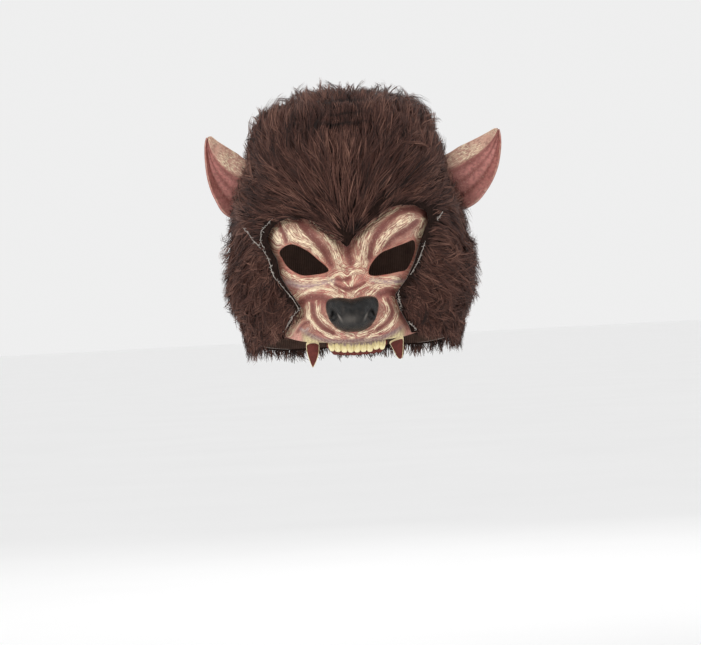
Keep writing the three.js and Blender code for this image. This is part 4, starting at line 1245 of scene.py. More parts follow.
@dataclass
class FurPanel:
    """One panel of hair: clumps of tapered strips that lie over a dark pile.

    Attributes:
        head: The form under it.
        zone: The part of the hood that it covers.
        hairs: How many hairs it has.
        clump: Hairs to a clump.
        long: Common length of a hair.
        thick: Width of a hair at its root.
        stray: Share of clumps that stand off.
        frizz: How far hairs wander from their clump, in millimetres at the tip.
        turn: How far clumps turn from the lie of the fur, in radians.
        tone: The panel's common tone, from dark 0 to light 1.
        setback: How far roots stay from the face opening beside the eye and the cheek.
        split: Where the front and back crown panels meet.
        hem: Length of hair at the hood's rim, as a share of the common length.
        wild: How far stray clumps stand off, as a share of the pile.
        clear: How far roots stay from the corner of the mouth.
    """

    head: HeadForm
    zone: Zone
    hairs: int
    clump: int = 9
    long: float = 30.0
    thick: float = 0.62
    stray: float = 0.06
    frizz: float = 1.6
    turn: float = 0.16
    tone: float = 0.46
    setback: float = 1.5
    split: float = 6.0
    hem: float = 0.45
    wild: float = 0.45
    clear: float = 1.8

    @property
    def cheek(self) -> bool:
        """Whether it is a cheek panel."""
        return self.zone in (Zone.CHEEK_LEFT, Zone.CHEEK_RIGHT)

    def covers(self, points: Array) -> Array:
        """Which points of the form lie under this panel."""
        x, y, z = points.T
        back = np.clip((y - SEAM_FRONT.y) / (SEAM_TOP.y - SEAM_FRONT.y), 0, 1)
        down = np.clip((SEAM_REAR.z - z) / (SEAM_REAR.z - SEAM_FOOT.z), 0, 1)
        under = z < mix(SEAM_FRONT.z, SEAM_TOP.z, back)
        on_cheek = under & (y < mix(SEAM_REAR.y, SEAM_FOOT.y, down))
        margin = 0.15 + self.setback * bell(z + 131.0, 19.0) + self.clear * ease((-z - 150) / 8)
        clear = (y > 0) | (inside(x, z, OPENING_LINE) < -margin)
        here = clear & (z > rim_at(y))
        if self.zone is Zone.CROWN_FRONT:
            return here & ~on_cheek & (y < self.split)
        if self.zone is Zone.CROWN_BACK:
            return here & ~on_cheek & (y >= self.split)
        return here & on_cheek & ((x < 0) == (self.zone is Zone.CHEEK_LEFT))

    def lie(self, points: Array, normals: Array) -> Array:
        """The way that the fur lies."""
        x, y, z = points.T
        if self.cheek:
            way = np.stack([np.sign(x) * 0.75, np.full(len(x), 0.45), np.full(len(x), -0.75)], axis=1)
        else:
            way = unit(points - [0.0, -self.head.front, -104.0])
            fall = 1.6 * ease((y + 10) / 90) + 0.9 * ease((np.abs(x) - 58) / 20) * ease((-z - 70) / 30)
            way[:, 2] -= fall
        return unit(way - normals * np.sum(way * normals, axis=1, keepdims=True))

    def roots(self, rng: np.random.Generator, count: int) -> Array:
        """Points spread evenly over the form under this panel."""
        found = np.zeros((0, 3))
        while len(found) < count:
            way = unit(rng.normal(size=(count * 6, 3)))
            way = way[way[:, 2] > math.sin(math.radians(self.head.lowest + 8))]
            skin, normal = self.head.seat(self.head.centre + way * 50)
            reach = np.linalg.norm(skin - self.head.centre, axis=1)
            facing = np.sum(way * normal, axis=1)
            area = reach**2 / np.maximum(facing, 0.25)
            keep = (rng.uniform(size=len(skin)) < area / area.max()) & self.covers(skin)
            found = np.vstack([found, skin[keep]])
        return found[:count]

    def gathers(self, points: Array) -> Array:
        """How deep each point lies in the gathers over the middle of the forehead."""
        x, y, z = points.T
        deep = sum(
            crease.deep * bell(z - crease.level, 1.7 * crease.wide) * bell(x - crease.middle, crease.long)
            for crease in CREASES
        )
        return np.where(y < 10, deep, 0.0)

    def shade(self, points: Array) -> Array:
        """What to add to the hairs' tone at points of the fur: random patches, painted shade in the
        gathers and along the face opening, and a lighter swirl.
        """
        x, y, z = points.T
        # Painted shade along the face opening.
        edge = np.where(y < 0, bell(inside(x, z, OPENING_LINE), 6.0), 0.0)
        swirl = bell(x - 26, 9.0) * bell(z + 10, 8.0) * (y < 0)
        patch = 0.1 * ripple(points, 30.0, 3) + 0.07 * ripple(points, 11.0, 4)
        return patch - 0.5 * self.gathers(points) - 0.12 * edge + 0.1 * swirl

    def fullness(self, points: Array, seen: Array) -> Array:
        """How full the pile stands."""
        x, y, z = points.T
        near_rim = ease((z - rim_at(y)) / 42.0)
        crown = mix(0.8, 0.94, ease((z + 24) / 22))
        level = np.full(len(points), 0.74) if self.cheek else crown
        by_ear = ease((np.abs(x) - 50) / 16) * bell(z + 50, 26.0) * (y < 40)
        folded = 1 - 0.55 * np.clip(self.gathers(seen), 0, 1)
        return level * mix(0.5, 1.0, near_rim) * folded * (1 - 0.34 * by_ear)

    def lengths(self, skin: Array, normal: Array, length: Array) -> Array:
        """Hair lengths, cut down at the opening, at the rim and over the forehead's gathers."""
        x, y, z = skin.T
        edge = ease((-inside(x, z, OPENING_LINE)) / 16.0)
        length = length * np.where(y < 0, mix(0.5, 1.0, edge), 1.0)
        length *= mix(self.hem, 1.0, ease((z - rim_at(y)) / 34.0))
        above = z + normal[:, 2] * 13.0
        length *= 1 - 0.55 * bell(x - 1, 22.0) * bell(above + 5, 15.0) * (y < 10)
        return length

    def clumps(self, rng: np.random.Generator, count: int) -> Clumps:
        """Sets out the clumps and draws how each of them grows."""
        skin, normal = self.head.seat(self.roots(rng, count))
        tone = self.tone + 0.11 * rng.normal(size=count)
        swerve = self.turn * (ripple(skin, 22.0, 7) + 0.8 * rng.normal(size=count))
        curl = self.turn * 1.6 * rng.normal(size=count)
        length = self.lengths(skin, normal, self.long * rng.uniform(0.75, 1.2, count))
        lift = rng.uniform(0.84, 1.08, count) + 0.14 * ripple(skin, 15.0, 9)
        facing = ease((np.abs(normal[:, 1]) - 0.4) / 0.3) * (not self.cheek)
        wisp = rng.uniform(size=count) < self.stray * mix(1.3, 0.25, facing)
        stand = np.where(wisp, rng.uniform(0.2, self.wild, count), 0.0)
        length *= np.where(wisp, 1.0 + 0.4 * self.wild, 1.0)
        curl = np.where(wisp, 2.2, 1.0) * curl
        return Clumps(skin, normal, tone, swerve, curl, length, lift, wisp, stand)

    def guides(self, clumps: Clumps) -> list[Guide]:
        """Follows the clumps over the form, stop by stop."""
        at, up = clumps.skin, clumps.normal
        found: list[Guide] = []
        for k, stop in enumerate(STOPS):
            if found:
                step = (clumps.length * (stop - STOPS[k - 1]))[:, None]
                at, up = self.head.seat(at + found[-1].flow * step)
            flow = turned(self.lie(at, up), up, clumps.swerve + clumps.curl * stop)
            pile = self.head.pile(at)
            seen = at + up * (BACKING_WALL + 0.8 * pile)[:, None]
            found.append(Guide(at, up, flow, pile * self.fullness(at, seen), self.shade(seen)))
        return found

    def strips(
        self, rng: np.random.Generator, clumps: Clumps, kids: Array
    ) -> tuple[list[Array], list[Array]]:
        """Draws every hair round its clump as a strip that tapers to a point.

        Args:
            rng: The panel's random source.
            clumps: The clumps.
            kids: The clump of each hair.

        Returns:
            Points down the strips, two at each stop and one at the tip, and the shade at each of them.
        """
        total = len(kids)
        guides = self.guides(clumps)
        aside = rng.normal(0, 1.5, total)
        ahead = rng.uniform(-3.5, 3.5, total)
        spread = rng.normal(0, self.frizz, total)
        bounce = rng.normal(1.0, 0.07, total)
        wave = rng.normal(0, 0.4 * self.frizz / 1.6, total)
        roll = rng.uniform(-0.9, 0.9, total)
        width = self.thick * rng.uniform(0.75, 1.25, total) / 2
        point = np.where(clumps.wisp, 0.94, 0.66)[kids]
        spread *= np.where(clumps.wisp, 0.3, 1.0)[kids]
        lift, stand = clumps.lift[kids], clumps.stand[kids]
        rings, shades = [], []
        for guide, stop, rise in zip(guides, STOPS, RISE):
            at, up, flow, pile, shade = (part[kids] for part in guide)
            across = np.cross(up, flow)
            side = aside * (1 - point * stop) + spread * stop**1.5 + wave * math.sin(5.5 * stop)
            along = ahead * (1 - 0.45 * point * stop)
            height = BACKING_WALL + AIR + pile * (rise * lift * bounce + stand * stop**2)
            middle = at + across * side[:, None] + flow * along[:, None] + up * height[:, None]
            if guide is guides[-1]:
                rings.append(middle)
                shades.append(shade)
                continue
            taper = (width * (1 - 0.65 * stop**2))[:, None]
            out = (across * np.cos(roll)[:, None] + up * np.sin(roll)[:, None]) * taper
            rings.extend([middle - out, middle + out])
            shades.extend([shade, shade])
        return rings, shades

    def build(self) -> bpy.types.Object:
        """Makes the panel's hair as one mesh, with each hair's tone and its way from root to tip."""
        rng = np.random.default_rng(SEED + list(Zone).index(self.zone))
        count = self.hairs // self.clump
        clumps = self.clumps(rng, count)
        kids = np.repeat(np.arange(count), self.clump)
        rings, shades = self.strips(rng, clumps, kids)
        total, per = len(kids), len(rings)
        first = (np.arange(total) * per)[:, None]
        quads = np.vstack([first + np.array([k, k + 1, k + 3, k + 2]) for k in range(0, per - 3, 2)])
        tips = first + np.array([per - 3, per - 2, per - 1])
        points = np.stack(rings, axis=1).reshape(-1, 3)
        piece = new_object(f"{self.zone.value}_hair", points, [quads, tips], closed=False)
        # The tone carries painted shade in the gathers and along the face opening.
        own = (clumps.tone[kids] + rng.normal(0, 0.15, total))[:, None] + np.stack(shades, axis=1)
        u = np.clip(own, 0.02, 0.97).ravel() + np.tile([-0.003, 0.003] * (per // 2) + [0.0], total)
        v = np.tile([*np.repeat(STOPS[:-1], 2), 1.0], total) * 0.96 + 0.02
        set_uv(piece, np.stack([u, v], axis=1))
        return piece


@dataclass
class Fur:
    """The fur: hair panels over a dark sheet of painted shade deep in the pile.

    Attributes:
        head: The form under it.
        hood: The backing, for its rim.
        depth: How far up the pile its dark sheet of painted shade reaches.
    """

    head: HeadForm
    hood: HoodBacking
    depth: float = 0.5

    def seam(self, side: Side, margin: float) -> bpy.types.Object:
        """The side of the hood that a cheek panel covers, drawn in by a margin."""
        corners = [
            (-FAR, SEAM_FRONT.z - margin), (SEAM_FRONT.y, SEAM_FRONT.z - margin),
            (SEAM_TOP.y, SEAM_TOP.z - margin), (SEAM_REAR.y - margin, SEAM_REAR.z - margin),
            (SEAM_FOOT.y - margin, SEAM_FOOT.z), (-FAR, SEAM_FOOT.z),
        ]
        low, high = (-FAR, -0.5) if side is Side.LEFT else (0.5, FAR)
        return prism(np.array(corners, float), low, high, from_side=True)

    def pile(self, name: str, opening: Array) -> bpy.types.Object:
        """A dark sheet of painted shade deep in the pile over the whole hood, open at an outline in X and
        Z.
        """
        shell = self.head.space(self.reach)
        shell.name = name
        carve(shell, self.head.space(BACKING_WALL + AIR), Cut.AWAY)
        carve(shell, prism(opening, -FAR, 0.0, from_side=False), Cut.AWAY)
        carve(shell, self.hood.rim(1.0), Cut.WITHIN)
        return shell

    def reach(self, skin: Array) -> Array:
        """How far the dark sheet of painted shade reaches up the pile over points of the form."""
        full = mix(0.4, 1.0, ease((skin[:, 2] - rim_at(skin[:, 1])) / 42.0))
        return BACKING_WALL + AIR + self.head.pile(skin) * self.depth * full

    def cheek_panel(self, zone: Zone, setback: float, hem: float) -> FurPanel:
        """A cheek's hair: shorter, fuzzier and wilder than the crown's."""
        return FurPanel(
            self.head, zone, 24000, clump=7, long=23.0, thick=0.56, frizz=3.2, turn=0.34,
            stray=0.18, wild=1.05, setback=setback, hem=hem,
        )

    def build(self) -> list[bpy.types.Object]:
        """Makes and dresses the pile and the hair panels."""
        deep = PileShadeFinish().build()
        hair = FurFinish().build()
        made = []
        crown = self.pile("crown_pile_shade", OPENING_LINE)
        for side in Side:
            carve(crown, self.seam(side, 0.0), Cut.AWAY)
        made.append(dress(crown, deep, "brown_fur", "crown_fur"))
        for side in Side:
            label = side.name.lower()
            cheek = self.pile(f"cheek_pile_shade_{label}", grown(OPENING_EDGE, 0.3))
            carve(cheek, self.seam(side, 0.4), Cut.WITHIN)
            made.append(dress(cheek, deep, "brown_fur", f"cheek_fur_{label}"))
        panels = (
            FurPanel(self.head, Zone.CROWN_FRONT, 28400, clump=8, thick=0.5, stray=0.13, wild=0.62),
            FurPanel(self.head, Zone.CROWN_BACK, 27000, clump=8, hem=0.34, wild=0.65, stray=0.11),
            self.cheek_panel(Zone.CHEEK_LEFT, 1.4, 0.42),
            self.cheek_panel(Zone.CHEEK_RIGHT, 1.1, 0.42),
        )
        for panel in panels:
            node = f"cheek_fur_{panel.zone.value.split('_')[1]}" if panel.cheek else "crown_fur"
            made.append(dress(panel.build(), hair, "brown_fur", node))
        return made


@dataclass(frozen=True)
class FaceCoat:
    """The colours of the face under its brushed cream, with painted shade in the grooves, on the gum under
    the lip and along the fur.
    """

    brow: Tone = (176, 124, 108)
    bridge: Tone = (200, 130, 116)
    muzzle: Tone = (184, 128, 110)
    lip: Tone = (190, 118, 112)
    corner: Tone = (226, 162, 148)
    patch: Tone = (118, 62, 56)
    # Painted shade in the grooves, over their darker rose.
    groove: Tone = (112, 60, 55)
    lilac: Tone = (188, 168, 168)
    # Painted shade: the grey of the gum under the lip.
    gum: Tone = (150, 128, 124)
    cream: Tone = (226, 212, 156)
    crack: Tone = (96, 70, 68)
    eyelid: Tone = (196, 120, 104)
    shadow: Tone = (84, 48, 42)
    inner: Tone = (206, 168, 150)


@dataclass
class FaceShell:
    """The latex face: its form, its painted relief, its eye holes and its lip.

    Attributes:
        head: The form that its edge tucks against.
        pitch: Spacing of its mesh.
        tuck: How far it runs on under the hood.
        half: Half width of the sheet that it is cut from.
        tuck_air: How far its edge lies inside the form's surface.
        tuck_start: How far inside the fur's opening the face starts to rise.
        tuck_blend: How far it rises over.
        rim: Width of the raised rim round each eye hole.
        tooth_pitch: Spacing of the gum's scallops.
        tooth_shift: Where their middle lies.
        colours: What it is painted with.
        lines: The strokes' smoothed lines.
        eyes: The eye holes' smoothed outlines.
    """

    head: HeadForm
    pitch: float = 0.75
    tuck: float = 6.0
    half: float = FACE_HALF + 10.0
    tuck_air: float = 2.3
    tuck_start: float = 1.2
    tuck_blend: float = 8.0
    rim: float = 2.2
    tooth_pitch: float = 4.78
    tooth_shift: float = 2.0
    colours: FaceCoat = FaceCoat()
    lines: list[Array] = field(init=False)
    eyes: dict[Side, Array] = field(init=False)

    def __post_init__(self) -> None:
        """Smooths the strokes and the eye holes."""
        self.lines = [smooth_line(stroke.line, 5) for stroke in STROKES]
        self.eyes = {side: eye_outline(side) for side in Side}

    def form(self, across: Array, down: Array) -> Array:
        """Forward depth of the face, strokes left out."""
        place = np.interp(down, [row.down for row in FACE_ROWS], range(len(FACE_ROWS)))
        values = np.stack([column([row[i] for row in FACE_ROWS], place) for i in range(1, 7)])
        padded = np.vstack([values[1:2], values, (2 * values[5] - values[4])[None]])
        out = np.abs(across)
        index = np.clip(np.searchsorted(STATIONS, out, side="left") - 1, 0, len(STATIONS) - 2)
        stations = np.array(STATIONS)
        share = (out - stations[index]) / (stations[index + 1] - stations[index])
        pick = np.arange(len(out))
        return FACE_DEPTH * through(*[padded[index + step, pick] for step in range(4)], share)

    def relief(self, x: Array, z: Array) -> Array:
        """Height that the painted ridges and grooves add."""
        plane = np.stack([x, z], axis=1)
        height = 0.25 * ripple(plane, 7.0, 12) + 0.12 * ripple(plane, 3.2, 13)
        for stroke, line in zip(STROKES, self.lines):
            height += stroke.high * bell(to_line(x, z, line)[0], stroke.wide)
        for side in Side:
            socket = np.hypot((x - side.value * 31.5) / 8.5, (z + 179.5) / 7.5)
            height += 1.6 * bell(socket - 0.85, 0.28) * (z > face_z(0.99))
        gum = ease((face_z(0.93) - z) / 3.0)
        scallop = np.cos((x - self.tooth_shift) * FULL_TURN / self.tooth_pitch)
        return np.maximum(height - gum * (0.5 + 0.45 * scallop), -1.9)

    def surface(self, x: Array, z: Array, detail: bool = True) -> Array:
        """The outer surface, tucked under the hood at its edge."""
        under = self.head.front_at(x, z) + self.tuck_air
        free = -self.form(x / FACE_HALF, (-z - FACE_TOP) / FACE_DROP)
        if detail:
            free = free - self.relief(x, z)
            for outline in self.eyes.values():
                free = free + 1.5 * bell(np.minimum(0.0, inside(x, z, outline)), self.rim * 0.6)
        risen = ease((inside(x, z, OPENING_LINE) - self.tuck_start) / self.tuck_blend)
        return mix(under, np.minimum(free, under), risen)

    def sheet(self) -> bpy.types.Object:
        """The uncut sheet of latex."""
        top, foot = -FACE_TOP + self.tuck + 4, face_z(1.06)
        across = int(2 * self.half / self.pitch)
        rows = int((top - foot) / self.pitch)
        levels, places = np.linspace(top, foot, rows), np.linspace(-self.half, self.half, across)
        grid_z, grid_x = np.meshgrid(levels, places, indexing="ij")
        x, z = grid_x.ravel(), grid_z.ravel()
        front = np.stack([x, self.surface(x, z), z], axis=1)
        base = self.surface(x, z, detail=False)
        nudge = 0.5
        slope_x = (self.surface(x + nudge, z, False) - self.surface(x - nudge, z, False)) / (2 * nudge)
        slope_z = (self.surface(x, z + nudge, False) - self.surface(x, z - nudge, False)) / (2 * nudge)
        normal = unit(np.stack([slope_x, -np.ones(len(x)), slope_z], axis=1))
        rear = np.stack([x, base, z], axis=1) - normal * (LATEX_WALL + 0.3)
        return new_object("latex_face", np.vstack([front, rear]), sheet_faces(rows, across))

    def paint(self, piece: bpy.types.Object) -> None:
        """Stores the coat, the ridges' cream and the brush's direction on the face."""
        x, y, z = points_of(piece).T
        outer = y < self.surface(x, z) + 0.3
        strength, grain = self.brushed(x, z)
        rose = strength[Paint.ROSE]
        cream = strength[Paint.CREAM] * (1 - 0.75 * rose)
        colours = self.colours
        # Painted shade in the grooves.
        coat = tinted(self.coat(x, z), colours.groove, 0.86 * rose * (1 - 0.7 * cream))
        cream -= 0.45 * rose
        coat = tinted(coat, colours.lilac, 0.8 * strength[Paint.LILAC])
        below = face_z(0.928) + 0.012 * (np.abs(x) - 10).clip(0) ** 2 - z
        gum = ease(below / 2.0) * ease((41 - np.abs(x)) / 7.0)
        cracks = (0.5 + 0.5 * np.cos((x - self.tooth_shift) * FULL_TURN / (self.tooth_pitch / 2))) * gum
        # The grey is painted shade under the lip.
        coat = tinted(coat, colours.gum, 0.9 * gum)
        coat = tinted(coat, colours.cream, 0.95 * gum * ease((below - 2.6) / 4.0))
        coat = tinted(coat, colours.crack, 0.45 * cracks * (1 - ease((below - 3.0) / 5.0)))
        cream *= 1 - 0.9 * gum
        for outline in self.eyes.values():
            lip = bell(np.minimum(0.0, inside(x, z, outline)), self.rim * 0.75)
            coat = tinted(coat, colours.eyelid, 0.9 * lip)
            cream *= 1 - lip
        edge = bell(inside(x, z, OPENING_LINE), 2.2)
        coat = tinted(coat, colours.shadow, 0.15 * edge)
        cream *= 1 - 0.35 * edge
        coat[~outer] = linear(*colours.inner)
        cream[~outer] = 0.0
        set_value(piece, "coat", coat)
        set_value(piece, "ridge", cream)
        set_value(piece, "grain", grain)

    def brushed(self, x: Array, z: Array) -> tuple[dict[Paint, Array], Array]:
        """How the strokes colour the face."""
        strength = {paint: np.zeros(len(x)) for paint in Paint}
        best = np.full(len(x), -1.0)
        grain = np.zeros((len(x), 3))
        for i, (stroke, line) in enumerate(zip(STROKES, self.lines)):
            away, signed, along = to_line(x, z, line)
            wide = stroke.wide * (1.5 if stroke.paint is Paint.CREAM else 1.3)
            strength[stroke.paint] = np.maximum(strength[stroke.paint], bell(away, wide))
            near = bell(away, 9.0) > best
            best = np.where(near, bell(away, 9.0), best)
            grain[near] = np.stack([along, signed, np.full(len(x), i * 3.7)], axis=1)[near]
        return strength, grain

    def coat(self, x: Array, z: Array) -> Array:
        """The rose coat under the brushed paint."""
        colours = self.colours
        coat = tinted(np.array(linear(*colours.brow)), colours.bridge, ease((-z - 112) / 14))
        coat = tinted(coat, colours.muzzle, ease((-z - 146) / 12))
        lip = bell(z - face_z(0.915), 3.6) * (np.abs(x) < 40)
        coat = tinted(coat, colours.lip, 0.8 * lip)
        corner = ease((np.abs(x) - 36) / 6) * ease((-z - 158) / 8)
        coat = tinted(coat, colours.corner, 0.9 * corner)
        patch = ease(0.5 + 0.9 * ripple(np.stack([x, z], axis=1), 8.0, 21))
        return tinted(coat, colours.patch, 0.42 * patch * (1 - corner))

    def build(self) -> bpy.types.Object:
        """Makes, cuts and dresses the face."""
        face = self.sheet()
        edge = OPENING_LINE[(np.abs(OPENING_LINE[:, 0]) > 13) | (OPENING_LINE[:, 1] < face_z(0.5))]
        carve(face, prism(grown(edge, self.tuck), -FAR, 10.0, from_side=False), Cut.WITHIN)
        half = smooth_line([(face_x(row.across), face_z(row.down)) for row in LIP], 4)
        top = [[FACE_HALF * 1.15, 0], [-FACE_HALF * 1.15, 0]]
        outline = np.vstack([half[:0:-1] * [-1, 1], half, top])
        carve(face, prism(outline, -FAR, 10.0, from_side=False), Cut.WITHIN)
        for outline in self.eyes.values():
            carve(face, prism(outline, -FAR, 10.0, from_side=False), Cut.AWAY)
        face.data.shade_smooth()
        face.data.set_sharp_from_angle(angle=math.radians(60))
        self.paint(face)
        return dress(face, LatexFinish().build(), "face_latex", "face_shell")


@dataclass
class NosePad:
    """The black nose pad on the snout.

    Attributes:
        face: The face that it lies on.
        rings: Rings from its edge to its middle.
        steps: Steps between the points of its edge.
        middle: How far down its middle lies, as a share of its drop.
    """

    face: FaceShell
    rings: int = 30
    steps: int = 7
    middle: float = 0.45

    def depth(self, across: Array, down: Array, out: Array) -> Array:
        """Forward depth of the pad by shares across, down and out: a dome, its nostrils and groove."""
        dome = np.sqrt(np.maximum(0, 1 - out**3.2))
        dent = 7.5 * self.nostril(across, down) - 2.0 * self.rim(across, down)
        dip = 2.2 * bell(across, 0.3) * bell(down - 0.1, 0.16)
        groove = 1.2 * bell(across, 0.08) * ease(down * 1.6)
        curve = 6.5 * across**2 + 7 * np.maximum(0, down - 0.4) ** 2
        flat = np.stack([across * NOSE_HALF, down * NOSE_DROP], axis=-1).reshape(-1, 2)
        wrinkle = 0.25 * ripple(flat, 3.0, 31).reshape(across.shape)
        return NOSE_DEPTH - 13 * (1 - dome) - dent - dip - groove - curve + wrinkle

    def nostril(self, across: Array, down: Array) -> Array:
        """1 in the middle of a comma-shaped nostril, falling away round it."""
        side = np.abs(across)
        hole = np.exp(-(((side - 0.7) / 0.13) ** 2) - ((down - 0.5) / 0.17) ** 2)
        tail = np.exp(-(((side - 0.86) / 0.16) ** 2) - ((down - 0.36 - 0.3 * side) / 0.08) ** 2)
        return np.clip(hole + 0.9 * tail, 0, 1)

    def rim(self, across: Array, down: Array) -> Array:
        """1 along the raised inner rim of each nostril."""
        side = np.abs(across)
        return bell(side - 0.57 + 0.75 * (down - 0.5), 0.045) * bell(down - 0.48, 0.17)

    def build(self) -> bpy.types.Object:
        """Makes and dresses the nose pad."""
        right = list(NOSE_EDGE)
        left = [(-across, down) for across, down in right[-2:0:-1]]
        edge = smooth_line(right + left, self.steps, closed=True)
        out = 1 - np.linspace(0, 1, self.rings, endpoint=False)[:, None] ** 1.3
        across = edge[None, :, 0] * out
        down = mix(self.middle, edge[None, :, 1], out)
        x, z = across * NOSE_HALF, -NOSE_TOP - down * NOSE_DROP
        front = -self.depth(across, down, out * np.ones_like(across))
        behind = self.face.surface(x.ravel(), z.ravel()).reshape(x.shape) - 0.3
        front = np.minimum(front, behind - 0.5)
        count = len(edge)
        cap = np.stack([x, front, z], axis=-1).reshape(-1, 3)
        base = np.stack([x, behind, z], axis=-1).reshape(-1, 3)
        middle_z = -NOSE_TOP - self.middle * NOSE_DROP
        tip_y = -float(self.depth(np.array([0.0]), np.array([self.middle]), np.array([0.0]))[0])
        ends = np.array([[0.0, tip_y, middle_z], [0.0, base[-1, 1], middle_z]])
        size = len(cap)
        skin = grid_faces(self.rings, count, closed=True)
        ring = np.arange(count)
        after = (ring + 1) % count
        inner = size - count + ring
        wall = np.stack([ring, ring + size, after + size, after], axis=1)
        closing = [wall, fan(inner, 2 * size), fan(size + inner, 2 * size + 1)[:, ::-1]]
        points = np.vstack([cap, base, ends])
        pad = new_object("nose_pad", points, [skin, (skin + size)[:, ::-1], *closing])
        pad.data.set_sharp_from_angle(angle=math.radians(65))
        # Painted highlight on the lower middle (shine) and the nostrils' rims; painted shade in the
        # nostrils and toward the pad's edge.
        shine = bell(down - 0.64, 0.17) * bell(across + 0.12, 0.42)
        deep = 0.5 - 0.5 * self.nostril(across, down) + 0.42 * self.rim(across, down)
        deep += 0.16 * shine - 0.2 * ease((out - 0.72) / 0.28)
        set_value(pad, "deep", np.concatenate([deep.ravel(), np.full(size + 2, 0.5)]))
        return dress(pad, NoseFinish().build(), "nose_black", "nose")


def loft(rings: Array, name: str) -> bpy.types.Object:
    """A closed solid through rings of points, each end closed on its middle."""
    rows, across = rings.shape[:2]
    ends = np.stack([rings[0].mean(axis=0), rings[-1].mean(axis=0)])
    points = np.vstack([rings.reshape(-1, 3), ends])
    ring = np.arange(across)
    size = rows * across
    start, end = fan(ring, size)[:, ::-1], fan(size - across + ring, size + 1)
    return new_object(name, points, [grid_faces(rows, across, closed=True), start, end])


def joined(pieces: list[bpy.types.Object], name: str) -> bpy.types.Object:
    """Several pieces as one mesh."""
    with bpy.context.temp_override(active_object=pieces[0], selected_editable_objects=pieces):
        bpy.ops.object.join()
    pieces[0].name = name
    return pieces[0]


# How far down each ring of the tooth row lies, over its front and back up its rear.
TOOTH_FRONT = (0, 0.1, 0.2, 0.3, 0.4, 0.5, 0.6, 0.7, 0.8, 0.88, 0.94, 0.98, 1.0)
TOOTH_REAR = (0.97, 0.85, 0.6, 0.3, 0.0)


@dataclass
class ToothRow:
    """The upper front teeth in their gum, with the rust edge of the lining behind them.

    Attributes:
        face: The face that they hang from.
        count: How many teeth.
        row: The row's width.
        shift: How far its middle lies to the viewer's right.
        drop: Height of a tooth.
        thick: Its thickness.
        tip: Where its front starts to round over, as a share of its height.
    """

    face: FaceShell
    count: int = 9
    row: float = 43.0
    shift: float = 2.0
    drop: float = 9.4
    thick: float = 4.4
    tip: float = 0.78

    def level(self, x: Array) -> Array:
        """Height of the gum line."""
        return face_z(0.968) + 0.004 * (x - self.shift) ** 2

    def front(self, x: Array) -> Array:
        """Depth of the lip in front of the teeth."""
        return self.face.surface(x, np.full(x.shape, face_z(0.95)), detail=False)

    def rounded(self, share: float) -> float:
        """How far a tooth's front falls back at a share of its height."""
        over = max(0.0, share - self.tip) / 0.22
        return self.thick * 0.5 * (1 - math.sqrt(max(0.0, 1 - over**2)))

    def band(self) -> tuple[bpy.types.Object, Array]:
        """The teeth in their gum, and how far down each vertex lies."""
        rng = np.random.default_rng(SEED + 4)
        drops = self.drop * (1 + rng.uniform(-0.07, 0.07, self.count))
        x = np.linspace(-0.5, 0.5, self.count * 22 + 1) * self.row + self.shift
        spot = np.clip((x - self.shift) / self.row + 0.5, 0, 0.9999) * self.count
        notch = np.abs(2 * (spot - spot.astype(int)) - 1)
        beyond = (np.abs(spot - self.count / 2) - self.count / 2 + 0.5).clip(0) / 0.55
        ends = np.sqrt(np.clip(1 - beyond**2, 0.02, 1))
        low = drops[spot.astype(int)] * (1 - 0.13 * notch**3) * mix(0.45, 1.0, ends)
        top = self.level(x) + 2.4
        front = self.front(x) + 1.3
        rings = []
        for share in TOOTH_FRONT:
            groove = 1.3 * notch**5 * (0.35 + 0.65 * share)
            depth = groove + 0.5 * share + self.rounded(share)
            rings.append(np.stack([x, front + depth, top - share * low], axis=-1))
        for share in TOOTH_REAR:
            depth = self.thick * (1 - 0.3 * share)
            rings.append(np.stack([x, front + depth, top - share * low], axis=-1))
        level = np.tile([*TOOTH_FRONT, *TOOTH_REAR], len(x))
        return loft(np.stack(rings, axis=1), "tooth_row"), np.concatenate([level, [0.5, 0.5]])

    def lining(self) -> bpy.types.Object:
        """The thin scalloped edge that shows under the teeth."""
        x = np.linspace(self.shift - self.row / 2 - 1.0, self.shift + self.row / 2 + 1.0, 120)
        wave = 0.6 * np.abs(np.sin((x - self.shift) * math.pi / self.row * self.count))
        ends = ease((self.row / 2 + 1.0 - np.abs(x - self.shift)) / 5.0)
        low = self.level(x) - (self.drop - 0.9) * mix(0.5, 1.0, ends) - wave * ends
        depth = self.front(x) + 3.6
        corners = [(0.0, 4.0), (0.9, 4.0), (0.9, 0.0), (0.0, 0.0)]
        rings = np.stack([np.stack([x, depth + back, low + up], axis=1) for back, up in corners], axis=1)
        strip = loft(rings, "tooth_lining")
        set_value(strip, "level", np.zeros(len(strip.data.vertices)))
        return strip

    def build(self) -> list[bpy.types.Object]:
        """Makes and dresses the teeth and the lining's edge."""
        teeth, level = self.band()
        set_value(teeth, "level", level)
        return [
            dress(teeth, ToothFinish().build(), "tooth_cream", "upper_teeth"),
            dress(self.lining(), RustFinish("lining_rust").build(), "fang_rust"),
        ]


class FangRow(NamedTuple):
    """A level of a fang: its drop and its two edges across."""

    down: float
    left: float
    right: float


